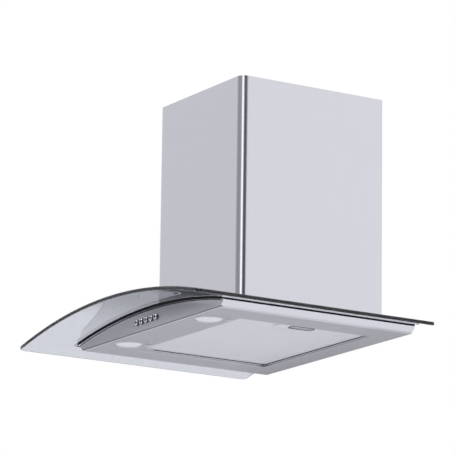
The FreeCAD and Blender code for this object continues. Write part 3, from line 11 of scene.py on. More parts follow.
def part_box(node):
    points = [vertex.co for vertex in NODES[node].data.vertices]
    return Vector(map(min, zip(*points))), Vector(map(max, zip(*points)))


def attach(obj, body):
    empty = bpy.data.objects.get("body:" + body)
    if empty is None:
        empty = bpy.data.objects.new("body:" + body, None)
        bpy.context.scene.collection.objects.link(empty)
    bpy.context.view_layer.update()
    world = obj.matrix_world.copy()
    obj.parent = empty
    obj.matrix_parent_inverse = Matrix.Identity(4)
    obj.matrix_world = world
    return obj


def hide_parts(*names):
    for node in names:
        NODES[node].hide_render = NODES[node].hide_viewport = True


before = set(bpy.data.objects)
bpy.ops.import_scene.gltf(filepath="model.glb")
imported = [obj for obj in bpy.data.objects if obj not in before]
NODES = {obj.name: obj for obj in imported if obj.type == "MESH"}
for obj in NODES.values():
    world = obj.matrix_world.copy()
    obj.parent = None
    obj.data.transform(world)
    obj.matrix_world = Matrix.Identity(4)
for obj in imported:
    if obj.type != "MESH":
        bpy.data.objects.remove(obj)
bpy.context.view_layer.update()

bl_info = {
    "name": "Curved glass range hood",
    "version": (1, 0, 0),
    "blender": (4, 5, 0),
    "location": "3D View > Sidebar > Hood",
    "description": "Finishes, fine detail and studio for a wall-mounted curved glass range hood",
    "category": "Object",
}

MM = 0.001
WELD = 0.01 * MM
CRISP = (0.2 * MM, 0.2 * MM, 0.2 * MM)
# Colour of the painted shade mixed into metal in seams, gaps, bores and under overhangs.
PAINTED_SHADE_COLOR = (0.025, 0.025, 0.03)


# ------------------------------------------------------------------ settings


def color_setting(name, description, default):
    return FloatVectorProperty(
        name=name, description=description, subtype="COLOR", default=default, min=0.0, max=1.0
    )


def length_setting(name, description, default, **limits):
    return FloatProperty(
        name=name, description=description, default=default, unit="LENGTH", **limits
    )


def pair_setting(name, description, default):
    """Two lengths, one across and one along or up."""
    return FloatVectorProperty(
        name=name, description=description, size=2, default=default, unit="LENGTH"
    )


def angle_setting(name, description, degrees):
    return FloatProperty(
        name=name, description=description, default=math.radians(degrees), subtype="ANGLE"
    )


class HoodFinish(bpy.types.PropertyGroup):
    """Colours and roughness of the hood's surfaces, and sizes of its fine detail."""

    steel_color: color_setting(
        "Stainless steel", "Colour of the brushed stainless panels", (0.62, 0.62, 0.645)
    )
    steel_roughness: FloatProperty(
        name="Steel roughness",
        description="Mean roughness of the brushed panels",
        default=0.22,
        min=0.05,
        max=0.8,
        subtype="FACTOR",
    )
    grain_size: length_setting(
        "Grain pitch", "Distance between neighbouring brush lines", 0.0006, min=0.0001, max=0.01
    )
    glass_color: color_setting(
        "Glass", "Colour of the canopy's glass seen through its thickness", (0.50, 0.525, 0.57)
    )
    glass_density: FloatProperty(
        name="Glass density",
        description="How quickly light fades inside the glass, per metre",
        default=130.0,
        min=0.0,
        max=1000.0,
    )
    rubber_color: color_setting(
        "Rubber", "Colour of the gaskets and grommets", (0.012, 0.012, 0.014)
    )
    galvanised_color: color_setting(
        "Galvanised steel", "Colour of the zinc-coated sheet inside", (0.52, 0.54, 0.56)
    )
    figure_size: length_setting(
        "Figure size", "Height of the figures on the buttons", 0.0054, min=0.001, max=0.02
    )
    finger_hole: pair_setting(
        "Finger hole", "Width and length of the hole in the latch", (0.016, 0.044)
    )
    finger_hole_offset: pair_setting(
        "Finger hole offset", "From the middle of the latch to that of its hole", (-0.00525, 0.009)
    )
    aluminium_color: color_setting(
        "Aluminium", "Colour of the filter's frame and mesh", (0.83, 0.835, 0.85)
    )


class HoodStudio(bpy.types.PropertyGroup):
    """Camera and floor."""

    azimuth: angle_setting("Azimuth", "Camera's angle round the hood from its front", 58.141)
    elevation: angle_setting("Elevation", "Camera's angle above the horizon", -13.255)
    roll: angle_setting("Roll", "Camera's turn about its own axis", 0.752)
    distance: length_setting("Distance", "From the camera to the point it looks at", 6.08253)
    lens: FloatProperty(
        name="Focal length",
        description="Focal length on a 36 mm sensor",
        default=277.4,
        unit="CAMERA",
    )
    aim: FloatVectorProperty(
        name="Aim",
        description="Point that the view is centred near",
        default=(0.0, -0.2073, 0.0325),
        subtype="TRANSLATION",
        unit="LENGTH",
    )
    aim_shift: pair_setting(
        "Aim shift", "Move of the aim across and up the picture", (-0.018344, 0.000485)
    )
    floor_height: length_setting("Floor height", "Height of the studio floor", -1.9)


# ------------------------------------------------------------------ material tools


class Nodes:
    """Short ways to add and join a material's nodes."""

    def __init__(self, tree):
        self.tree = tree
        self.tree.nodes.clear()

    def add(self, kind, **settings):
        node = self.tree.nodes.new(kind)
        for name, value in settings.items():
            setattr(node, name, value)
        return node

    def join(self, source, target):
        self.tree.links.new(source, target)

    def feed(self, socket, value):
        """Joins another node's socket to this one, or sets this one to a plain value."""
        if isinstance(value, bpy.types.NodeSocket):
            self.join(value, socket)
        elif value is not None:
            socket.default_value = value

    def output(self):
        return next(node for node in self.tree.nodes if node.type == "OUTPUT_MATERIAL")

    def place(self):
        """Where the shaded point lies, in its object's own coordinates."""
        return self.add("ShaderNodeTexCoord").outputs["Object"]

    def group(self, name, **values):
        """One of the shared groups, given back as its outputs."""
        node = self.add("ShaderNodeGroup", node_tree=Kit.group(name))
        for label, value in values.items():
            self.feed(node.inputs[label.replace("_", " ")], value)
        return node.outputs

    def noise(self, vector, scale, detail=2.0):
        node = self.add("ShaderNodeTexNoise")
        for label, value in (("Vector", vector), ("Scale", scale), ("Detail", detail)):
            self.feed(node.inputs[label], value)
        return node.outputs[0]

    def mapping(self, vector, scale=(1, 1, 1), rotation=(0, 0, 0)):
        node = self.add("ShaderNodeMapping")
        for label, value in (("Vector", vector), ("Scale", scale), ("Rotation", rotation)):
            self.feed(node.inputs[label], value)
        return node.outputs[0]

    def math(self, operation, a, b=None, kind="ShaderNodeMath"):
        node = self.add(kind, operation=operation)
        self.feed(node.inputs[0], a)
        self.feed(node.inputs[1], b)
        return node.outputs[0]

    def vector(self, operation, a, b):
        return self.math(operation, a, b, kind="ShaderNodeVectorMath")

    def axes(self, vector):
        node = self.add("ShaderNodeSeparateXYZ")
        self.join(vector, node.inputs[0])
        return node.outputs

    def clamped(self, value):
        node = self.add("ShaderNodeClamp")
        self.join(value, node.inputs[0])
        return node.outputs[0]

    def spread(self, value, low, high):
        """Takes a value between 0 and 1 to one between low and high."""
        node = self.add("ShaderNodeMapRange")
        for label, number in (("Value", value), ("To Min", low), ("To Max", high)):
            self.feed(node.inputs[label], number)
        return node.outputs[0]

    def mix(self, factor, a, b):
        node = self.add("ShaderNodeMix", data_type="RGBA")
        self.feed(node.inputs[0], factor)
        for socket, color in ((node.inputs[6], a), (node.inputs[7], b)):
            self.feed(socket, (*color, 1.0) if isinstance(color, tuple) else color)
        return node.outputs[2]


def new_group(name, inputs, *outputs):
    """A shader group that takes a point and these inputs and gives plain numbers."""
    tree = bpy.data.node_groups.new(name, "ShaderNodeTree")
    for label, default in {"Vector": (0, 0, 0), **inputs}.items():
        kind = "NodeSocketVector" if isinstance(default, tuple) else "NodeSocketFloat"
        socket = tree.interface.new_socket(label, in_out="INPUT", socket_type=kind)
        socket.default_value = default
    for label in outputs:
        tree.interface.new_socket(label, in_out="OUTPUT", socket_type="NodeSocketFloat")
    nodes = Nodes(tree)
    given = nodes.add("NodeGroupInput").outputs
    made = nodes.add("NodeGroupOutput").inputs
    return tree, nodes, given, made


def stretched_grain_group():
    """Brush lines, for a point that is squeezed along them, with a slow smudge over them."""
    tree, n, given, made = new_group("brush_grain", {"Lines per metre": 1600.0}, "Lines")
    smudge = 0.1
    fine = n.noise(given["Vector"], given["Lines per metre"], detail=3.0)
    cloud = n.math("MULTIPLY", n.noise(given["Vector"], 6.0, detail=3.0), smudge)
    n.join(n.math("SUBTRACT", n.math("ADD", fine, cloud), smudge / 2), made["Lines"])
    return tree


def speckle_group():
    """Fine speckle with a slow drift, for moulded plastic, rubber, paint and cast faces."""
    tree, n, given, made = new_group("speckle", {"Scale": 900.0}, "Speckle", "Drift")
    n.join(n.noise(given["Vector"], given["Scale"]), made["Speckle"])
    n.join(n.noise(given["Vector"], 14.0), made["Drift"])
    return tree


def spangle_group():
    """The crystal patches of galvanised sheet."""
    tree, n, given, made = new_group("spangle", {"Scale": 120.0}, "Patch", "Drift")
    cells = n.add("ShaderNodeTexVoronoi", feature="F1")
    n.join(given["Vector"], cells.inputs["Vector"])
    n.join(given["Scale"], cells.inputs["Scale"])
    split = n.add("ShaderNodeSeparateColor")
    n.join(cells.outputs["Color"], split.inputs[0])
    n.join(split.outputs[0], made["Patch"])
    n.join(n.noise(given["Vector"], 9.0), made["Drift"])
    return tree


def box_mask_group():
    """One inside a box given by its corners and nothing outside it, with a soft edge."""
    box = {"Low": (0, 0, 0), "High": (0, 0, 0), "Soft edge": CRISP}
    tree, n, given, made = new_group("box_mask", box, "Mask")
    above = n.vector("SUBTRACT", given["Vector"], given["Low"])
    below = n.vector("SUBTRACT", given["High"], given["Vector"])
    inward = n.vector("DIVIDE", n.vector("MINIMUM", above, below), given["Soft edge"])
    x, y, z = n.axes(inward)
    n.join(n.clamped(n.math("MINIMUM", n.math("MINIMUM", x, y), z)), made["Mask"])
    return tree


def woven_group():
    """Fine expanded mesh: two families of slanting strands that leave rhombic holes."""
    tree, n, given, made = new_group("expanded_mesh", {"Pitch": 0.0026}, "Strand", "Drift")
    scaled = n.add("ShaderNodeVectorMath", operation="SCALE")
    n.join(given["Vector"], scaled.inputs[0])
    n.join(n.math("DIVIDE", 1.0, given["Pitch"]), scaled.inputs["Scale"])
    slant = math.radians(32)
    waves = []
    for turn in (slant, -slant):
        across = n.axes(n.mapping(scaled.outputs[0], rotation=(0, 0, turn)))[0]
        waves.append(n.math("SINE", n.math("MULTIPLY", across, 2 * math.pi)))
    ridge = n.math("MAXIMUM", *waves)
    n.join(n.math("MULTIPLY", n.math("ADD", ridge, 1.0), 0.5), made["Strand"])
    n.join(n.noise(given["Vector"], 22.0, detail=3.0), made["Drift"])
    return tree


class Kit:
    """Groups and materials that the operators share, built once."""

    groups = {}
    materials = {}

    @classmethod
    def group(cls, name):
        makers = {
            "grain": stretched_grain_group,
            "speckle": speckle_group,
            "spangle": spangle_group,
            "box": box_mask_group,
            "mesh": woven_group,
        }
        if name not in cls.groups:
            cls.groups[name] = makers[name]()
        return cls.groups[name]

    @classmethod
    def material(cls, name, build):
        if name not in cls.materials:
            material = bpy.data.materials.new(name)
            material.use_nodes = True
            build(Nodes(material.node_tree))
            cls.materials[name] = material
        return cls.materials[name]


def surface(n, **plain):
    """A Principled surface joined to the output, with plain values on its sockets."""
    shader = n.add("ShaderNodeBsdfPrincipled")
    output = n.add("ShaderNodeOutputMaterial")
    n.join(shader.outputs[0], output.inputs["Surface"])
    for name, value in plain.items():
        shader.inputs[name.replace("_", " ")].default_value = value
    return shader


def bump(n, shader, height, strength, distance):
    """Fine relief on the shader's normal, the distance in metres."""
    node = n.add("ShaderNodeBump")
    for label, value in (("Height", height), ("Strength", strength), ("Distance", distance)):
        n.feed(node.inputs[label], value)
    n.join(node.outputs[0], shader.inputs["Normal"])


def shades(color, darker, lighter):
    """Two versions of a colour for a texture to go between."""
    return tuple(c * darker for c in color), tuple(min(1.0, c * lighter) for c in color)


def brushed(name, color, roughness, along, pitch, painted_shade=None):
    """Brushed metal whose lines run along the axis given as 0, 1 or 2.

    The last argument is a function that adds its own nodes and gives back a mask of where
    shade is painted on the metal, darkening it and making it rougher.
    """
    stretch, spread, shaded_roughness = 0.012, 0.04, 0.4
    squeeze = [1.0, 1.0, 1.0]
    squeeze[along] = stretch

    def build(n):
        shader = surface(n, Metallic=1.0)
        place = n.place()
        grain = n.group(
            "grain", Vector=n.mapping(place, scale=squeeze), Lines_per_metre=1.0 / pitch
        )
        lines = grain["Lines"]
        rough = n.spread(lines, roughness - spread, roughness + spread)
        metal = n.mix(lines, *shades(color, 0.93, 1.05))
        if painted_shade:
            # Painted shade: where the mask is, the metal goes dark and rougher.
            mask = painted_shade(n, place)
            metal = n.mix(mask, metal, PAINTED_SHADE_COLOR)
            rougher = n.math("MULTIPLY", n.math("MULTIPLY", mask, mask), shaded_roughness)
            rough = n.math("ADD", rough, rougher)
        n.join(metal, shader.inputs["Base Color"])
        n.join(rough, shader.inputs["Roughness"])
        bump(n, shader, lines, 0.03, 0.0002)

    return Kit.material(name, build)


def in_boxes(*boxes):
    """A function giving a mask of painted shade in boxes given by low corner, high corner, soft
    edge and strength.
    """

    def mask(n, place):
        found = None
        for low, high, soft, strength in boxes:
            box = n.group("box", Vector=place, Low=low, High=high, Soft_edge=soft)
            here = n.math("MULTIPLY", box["Mask"], strength)
            found = here if found is None else n.math("MAXIMUM", found, here)
        return found

    return mask


def speckled(
    name, color, roughness, scale=900.0, metallic=0.0, depth=0.05, spread=0.08, painted_shade=None, **plain
):
    """Moulded, painted or ground surface with fine speckle in its colour and gloss."""

    def build(n):
        shader = surface(n, Metallic=metallic, **plain)
        place = n.place()
        speck = n.group("speckle", Vector=place, Scale=scale)
        rough = n.spread(speck["Drift"], roughness - spread, roughness + spread)
        n.join(rough, shader.inputs["Roughness"])
        skin = n.mix(speck["Speckle"], *shades(color, 0.88, 1.08))
        if painted_shade:
            # Painted shade: where the mask is, the surface goes dark.
            skin = n.mix(painted_shade(n, place), skin, PAINTED_SHADE_COLOR)
        n.join(skin, shader.inputs["Base Color"])
        bump(n, shader, speck["Speckle"], depth, 0.0003)

    return Kit.material(name, build)


def zinc_plate():
    """The plating that all the screws, nuts, rivets and pins share."""
    return speckled("zinc_plate", (0.66, 0.66, 0.64), 0.28, metallic=1.0, scale=1500.0)


def galvanised(name, color):
    """Zinc-coated sheet with its crystal patches."""

    def build(n):
        shader = surface(n, Metallic=1.0)
        cells = n.group("spangle", Vector=n.place(), Scale=130.0)
        n.join(n.spread(cells["Patch"], 0.30, 0.48), shader.inputs["Roughness"])
        n.join(n.mix(cells["Patch"], *shades(color, 0.86, 1.12)), shader.inputs["Base Color"])
        bump(n, shader, cells["Drift"], 0.03, 0.001)

    return Kit.material(name, build)


def clear_glass(name, color, density, face):
    """Glass that is polished inside the face's low and high corners and ground outside."""
    polish, grinding = 0.008, 0.45

    def build(n):
        shader = surface(
            n, Metallic=0.0, Transmission_Weight=1.0, IOR=1.52, Base_Color=(1.0, 1.0, 1.0, 1.0)
        )
        place = n.place()
        film = n.math("MULTIPLY", n.noise(place, 7.0, detail=3.0), polish)
        polished = n.group("box", Vector=place, Low=face[0], High=face[1])["Mask"]
        ground = n.math("MULTIPLY", n.math("SUBTRACT", 1.0, polished), grinding)
        n.join(n.math("ADD", film, ground), shader.inputs["Roughness"])
        inside = n.add("ShaderNodeVolumeAbsorption")
        inside.inputs["Color"].default_value = (*color, 1.0)
        inside.inputs["Density"].default_value = density
        n.join(inside.outputs[0], n.output().inputs["Volume"])

    return Kit.material(name, build)


def filter_mesh(name, color, roughness, pitch):
    """Fine expanded aluminium mesh, with painted shade in its holes."""
    spread = 0.05

    def build(n):
        shader = surface(n, Metallic=1.0)
        weave = n.group("mesh", Vector=n.place(), Pitch=pitch)
        rough = n.spread(weave["Drift"], roughness - spread, roughness + spread)
        n.join(rough, shader.inputs["Roughness"])
        # Painted shade: the holes are darker than the strands.
        n.join(n.mix(weave["Strand"], *shades(color, 0.62, 1.0)), shader.inputs["Base Color"])
        bump(n, shader, weave["Strand"], 0.22, 0.0004)

    return Kit.material(name, build)


def dress(material, *names):
    """Gives CAD nodes a material in every slot they have."""
    for name in names:
        mesh = NODES[name].data
        if not mesh.materials:
            mesh.materials.append(material)
        for index in range(len(mesh.materials)):
            mesh.materials[index] = material


# ------------------------------------------------------------------ operators: finishes


class HOOD_OT_steel_panels(bpy.types.Operator):
    """Brushed stainless steel on the chimney and canopy panels"""

    bl_idname = "hood.steel_panels"
    bl_label = "Stainless panels"

    # Painted shade: the fascia's steel colour is scaled down by this from the panels'.
    fascia_shade = 0.83
    fascia_dulling = 0.08
    pan_dulling = 0.06

    def execute(self, context):
        look = context.scene.hood_finish
        color, rough, pitch = tuple(look.steel_color), look.steel_roughness, look.grain_size
        # The fascia gets a darker copy of the panels' steel as painted shade.
        shaded_fascia_color = tuple(c * self.fascia_shade for c in color)
        fascia_rough, pan_rough = rough + self.fascia_dulling, rough + self.pan_dulling
        dress(brushed("stainless_upright", color, rough, 2, pitch), "lower_cover", "upper_cover")
        dress(brushed("stainless_fascia", shaded_fascia_color, fascia_rough, 0, pitch), "front_fascia")
        # Painted shade under the plate's overhanging front left corner.
        shaded = in_boxes(self.plate_corner())
        dress(
            brushed("stainless_plate", (0.80, 0.80, 0.82), 0.16, 0, pitch, painted_shade=shaded),
            "top_plate",
            "canopy_rim",
        )
        # Painted shade on the pan: in the seam under the fascia, round the filter and towards the
        # wall.
        pan_shade_masks = in_boxes(
            self.seam_under_fascia(), *self.gap_round_filter(), *self.dulled_underside()
        )
        dress(brushed("stainless_pan", color, pan_rough, 1, pitch, painted_shade=pan_shade_masks), "canopy_pan")
        return {"FINISHED"}

    @staticmethod
    def plate_corner():
        """Painted shade on the plate's front left corner, which overhangs the rim out of the light.
        """
        low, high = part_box("top_plate")
        overhang, length, margin = 15 * MM, 30 * MM, 5 * MM
        return (
            (low.x - margin, low.y - margin, low.z - margin),
            (low.x + overhang, low.y + length, high.z + margin),
            (1 * MM, 12 * MM, 1 * MM),
            0.9,
        )

    @staticmethod
    def seam_under_fascia():
        """Painted shade on the strip of the pan's front flange that shows between the hem and the
        fascia.
        """
        pan_low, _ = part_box("canopy_pan")
        fascia_low, fascia_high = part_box("front_fascia")
        side, front, hem, depth, lap = 10 * MM, 1 * MM, 1.1 * MM, 4 * MM, 0.4 * MM
        low = (fascia_low.x - side, pan_low.y - front, pan_low.z + hem)
        high = (fascia_high.x + side, pan_low.y + depth, fascia_low.z + lap)
        return low, high, CRISP, 1.0

    @staticmethod
    def gap_round_filter():
        """Painted shade on the collar's left and rear walls above the filter's face, deep in a
        narrow gap.
        """
        low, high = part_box("filter_frame")
        margin, front_gap, right_gap, wall, lap = 3 * MM, 31 * MM, 24 * MM, 6 * MM, 0.5 * MM
        bottom = low.z - lap
        left_wall = (
            (low.x - margin, low.y + front_gap, bottom),
            (low.x + wall, high.y + margin, high.z),
            CRISP,
            1.0,
        )
        rear_wall = (
            (low.x - margin, high.y - wall, bottom),
            (high.x - right_gap, high.y + margin, high.z),
            CRISP,
            1.0,
        )
        return left_wall, rear_wall

    @staticmethod
    def dulled_underside():
        """The pan's lowest face, with painted shade and a duller gloss a little all over and more
        so towards the wall.
        """
        low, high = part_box("canopy_pan")
        wide, deep, thin = 700 * MM, 140 * MM, 0.5 * MM
        floor, ceiling = low.z - 5 * MM, low.z + 3 * MM
        everywhere = (
            (low.x - wide, low.y - wide, floor),
            (high.x + wide, high.y + wide, ceiling),
            (thin, thin, thin),
            0.15,
        )
        rear = (
            (low.x - wide, high.y - deep, floor),
            (high.x + wide / 2, high.y + wide, ceiling),
            (wide, deep, thin),
            0.50,
        )
        return everywhere, rear


class HOOD_OT_glass(bpy.types.Operator):
    """Toughened glass with a grey tint and ground edges, frosted lamp lenses and bulbs"""

    bl_idname = "hood.glass"
    bl_label = "Glass"

    def execute(self, context):
        look = context.scene.hood_finish
        low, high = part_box("glass_canopy")
        edge = 0.5 * MM
        face = (
            (low.x + edge, low.y + edge, low.z - edge),
            (high.x - edge, high.y + edge, high.z + edge),
        )
        glass = clear_glass("canopy_glass", tuple(look.glass_color), look.glass_density, face)
        dress(glass, "glass_canopy")
        dress(
            speckled(
                "frosted_lens",
                (0.88, 0.89, 0.88),
                0.5,
                scale=2500.0,
                Transmission_Weight=0.25,
                IOR=1.5,
            ),
            "lamp_lens_left",
            "lamp_lens_right",
        )
        dress(
            speckled("bulb_glass", (0.95, 0.95, 0.92), 0.15, Transmission_Weight=0.7, IOR=1.5),
            "lamp_bulbs",
        )
        return {"FINISHED"}


class HOOD_OT_rubber_and_plastic(bpy.types.Operator):
    """Rubber, moulded plastic, circuit board and paint"""

    bl_idname = "hood.rubber_and_plastic"
    bl_label = "Rubber and plastic"

    def execute(self, context):
        look = context.scene.hood_finish
        rubber = speckled(
            "rubber",
            tuple(look.rubber_color),
            0.7,
            scale=1400.0,
            depth=0.12,
            Specular_IOR_Level=0.12,
        )
        dress(rubber, "glass_gasket", "cutout_gasket", "motor_grommets")
        black = speckled("black_plastic", (0.03, 0.03, 0.032), 0.42, depth=0.15)
        dress(black, "terminal_box", "terminal_lid", "cable_gland")
        dress(
            speckled(
                "switch_plastic", (0.012, 0.012, 0.013), 0.6, depth=0.15, Specular_IOR_Level=0.1
            ),
            "switch_housing",
        )
        dress(speckled("duct_plastic", (0.10, 0.10, 0.105), 0.45, depth=0.15), "duct_collar")
        white = speckled("white_plastic", (0.80, 0.80, 0.78), 0.3)
        dress(white, "lamp_transformer", "capacitor", "terminal_strip", "glass_bushes")
        dress(speckled("circuit_board", (0.03, 0.16, 0.06), 0.35), "switch_board")
        dress(speckled("motor_paint", (0.06, 0.065, 0.07), 0.35, depth=0.1), "motor_case")
        return {"FINISHED"}


class HOOD_OT_inner_metal(bpy.types.Operator):
    """Galvanised sheet, aluminium, plated screws and ground steel"""

    bl_idname = "hood.inner_metal"
    bl_label = "Inner metalwork"

    def execute(self, context):
        look = context.scene.hood_finish
        sheet = galvanised("galvanised_sheet", tuple(look.galvanised_color))
        dress(
            sheet,
            "blower_box",
            "base_plate",
            "scroll_band",
            "scroll_side_left",
            "scroll_side_right",
            "motor_bracket",
            "chimney_bracket",
            "impeller",
            "capacitor_clip",
        )
        aluminium = tuple(look.aluminium_color)
        folded = brushed("filter_aluminium", aluminium, 0.34, 0, 0.0008)
        dress(folded, "filter_frame", "filter_core")
        dress(filter_mesh("filter_mesh", aluminium, 0.36, 2.6 * MM), "filter_face_mesh")
        dress(
            brushed("mill_aluminium", (0.78, 0.79, 0.80), 0.3, 1, 0.0008),
            "damper_flap_front",
            "damper_flap_rear",
            "lamp_housing_left",
            "lamp_housing_right",
        )
        dress(
            zinc_plate(),
            "glass_screws",
            "glass_nuts",
            "lamp_screws",
            "roof_screws",
            "motor_screws",
            "impeller_nut",
            "box_rivets",
            "filter_hinge_pins",
        )
        dress(
            brushed("pressed_steel", (0.84, 0.845, 0.86), 0.32, 1, 0.0006),
            "latch_case",
            "latch_slider",
        )
        ground = speckled("ground_steel", (0.7, 0.7, 0.71), 0.18, metallic=1.0, scale=2000.0)
        dress(ground, "motor_shaft", "motor_bearings", "flap_axle")
        return {"FINISHED"}


class HOOD_OT_chrome(bpy.types.Operator):
    """Bright chrome on the buttons and lamp bezels"""

    bl_idname = "hood.chrome"
    bl_label = "Chrome trim"

    def execute(self, context):
        # Chrome with painted shade on the buttons' sides behind their rims.
        bright = speckled(
            "chrome",
            (0.80, 0.80, 0.81),
            0.09,
            metallic=1.0,
            scale=2600.0,
            depth=0.01,
            spread=0.03,
            painted_shade=in_boxes(self.button_sides()),
        )
        dress(
            bright,
            "button_stop",
            "button_speed_1",
            "button_speed_2",
            "button_speed_3",
            "button_lamp",
        )
        satin = speckled(
            "satin_chrome", (0.50, 0.50, 0.52), 0.32, metallic=1.0, scale=2600.0, depth=0.02
        )
        dress(satin, "lamp_bezel_left", "lamp_bezel_right")
        return {"FINISHED"}

    @staticmethod
    def button_sides():
        """Painted shade on the buttons behind their front rims, which show only what is in the
        bores.
        """
        first_low, first_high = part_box("button_stop")
        last_low, last_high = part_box("button_lamp")
        margin, rim = 5 * MM, 0.9 * MM
        low = Vector((min(first_low.x, last_low.x), first_low.y, first_low.z))
        high = Vector((max(first_high.x, last_high.x), first_high.y, first_high.z))
        return (
            (low.x - margin, low.y + rim, low.z - margin),
            (high.x + margin, high.y + margin, high.z + margin),
            CRISP,
            0.85,
        )


# ------------------------------------------------------------------ modelling tools


def deselect():
    if bpy.context.mode != "OBJECT":
        bpy.ops.object.mode_set(mode="OBJECT")
    bpy.ops.object.select_all(action="DESELECT")


def only(*objects):
    """Selects these objects and nothing else, the first of them active."""
    deselect()
    for piece in objects:
        piece.select_set(True)
    bpy.context.view_layer.objects.active = objects[0]


def edit_picked(piece, kind, wanted):
    """Enters edit mode with only the faces or vertices selected for which wanted() is true."""
    only(piece)
    bpy.ops.object.mode_set(mode="EDIT")
    bpy.ops.mesh.select_mode(type=kind)
    bpy.ops.mesh.select_all(action="DESELECT")
    mesh = bmesh.from_edit_mesh(piece.data)
    for element in mesh.faces if kind == "FACE" else mesh.verts:
        element.select = wanted(element)
    mesh.select_flush(True)
    bmesh.update_edit_mesh(piece.data)


def edit_all(piece):
    """Enters edit mode with all of the mesh selected."""
    only(piece)
    bpy.ops.object.mode_set(mode="EDIT")
    bpy.ops.mesh.select_all(action="SELECT")


def object_mode():
    bpy.ops.object.mode_set(mode="OBJECT")


def settle(piece):
    """Puts the piece's place, turn and scale into its mesh."""
    only(piece)
    bpy.ops.object.transform_apply(location=True, rotation=True, scale=True)


def finish_piece(piece, name, body, material):
    """Settles the piece and gives it its name, its material's slot and the body it rides on."""
    settle(piece)
    piece.name = name
    piece.data.name = name
    piece.data.materials.clear()
    piece.data.materials.append(material)
    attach(piece, body)
    return piece


def copy_of(piece):
    """A copy with a mesh of its own."""
    twin = piece.copy()
    twin.data = piece.data.copy()
    bpy.context.scene.collection.objects.link(twin)
    return twin


def joined(pieces):
    """All the pieces as one object."""
    only(*pieces)
    if len(pieces) > 1:
        bpy.ops.object.join()
    return bpy.context.view_layer.objects.active


def solids_of(name):
    """Lowest and highest corner of each separate solid in a CAD node."""
    copy = copy_of(NODES[name])
    copy.parent = None
    edit_all(copy)
    bpy.ops.mesh.remove_doubles(threshold=WELD)
    bpy.ops.mesh.separate(type="LOOSE")
    object_mode()
    boxes = []
    for piece in list(bpy.context.selected_objects):
        places = [vertex.co for vertex in piece.data.vertices]
        low = Vector([min(p[axis] for p in places) for axis in range(3)])
        high = Vector([max(p[axis] for p in places) for axis in range(3)])
        boxes.append((low, high))
        bpy.data.objects.remove(piece)
    return boxes


# ------------------------------------------------------------------ operators: modelled pieces


class HOOD_OT_button_figures(bpy.types.Operator):
    """Raised figures 0 to 3 and a light sign on the push buttons"""

    bl_idname = "hood.button_figures"
    bl_label = "Button figures"

    half_thickness = 0.3 * MM
    boldness = 0.15 * MM
    edge_round = 0.04 * MM
    face_depth = 0.45 * MM
    sign_sides = 16

    def execute(self, context):
        size = context.scene.hood_finish.figure_size
        ink = speckled("button_ink", (0.02, 0.02, 0.022), 0.4, scale=1800.0)
        numbered = ("button_stop", "button_speed_1", "button_speed_2", "button_speed_3")
        for number, node in enumerate(numbered):
            self.place_on(self.figure(str(number), size), node, ink)
        self.place_on(self.light_sign(size), "button_lamp", ink)
        return {"FINISHED"}

    def figure(self, text, size):
        """A figure that stands up facing the front, made a mesh."""
        deselect()
        bpy.ops.object.text_add(rotation=(math.radians(90), 0, 0))
        piece = bpy.context.object
        piece.data.body = text
        piece.data.size = size
        piece.data.align_x = "CENTER"
        piece.data.align_y = "CENTER"
        piece.data.extrude = self.half_thickness
        piece.data.offset = self.boldness
        piece.data.bevel_depth = self.edge_round
        piece.data.resolution_u = 4
        only(piece)
        bpy.ops.object.convert(target="MESH")
        piece = bpy.context.object
        settle(piece)
        return piece

    def light_sign(self, size):
        """A disc with eight rays, pulled out of every second side face."""
        radius, ray, step = size * 0.19, size * 0.16, 360 / self.sign_sides
        deselect()
        bpy.ops.mesh.primitive_cylinder_add(
            vertices=self.sign_sides,
            radius=radius,
            depth=2 * self.half_thickness,
            rotation=(math.radians(90), 0, 0),
        )
        piece = bpy.context.object
        settle(piece)

        def every_second_side(face):
            turn = math.degrees(math.atan2(face.normal.z, face.normal.x))
            return abs(face.normal.y) < 0.5 and round(turn / step - 0.5) % 2 == 0

        edit_picked(piece, "FACE", every_second_side)
        bpy.ops.mesh.extrude_faces_move(
            MESH_OT_extrude_faces_indiv={}, TRANSFORM_OT_shrink_fatten={"value": ray}
        )
        object_mode()
        return piece

    def place_on(self, piece, node, ink):
        low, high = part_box(node)
        piece.location = ((low.x + high.x) / 2, low.y + self.face_depth, (low.z + high.z) / 2)
        finish_piece(piece, node + "_figure", node + "_key", ink)


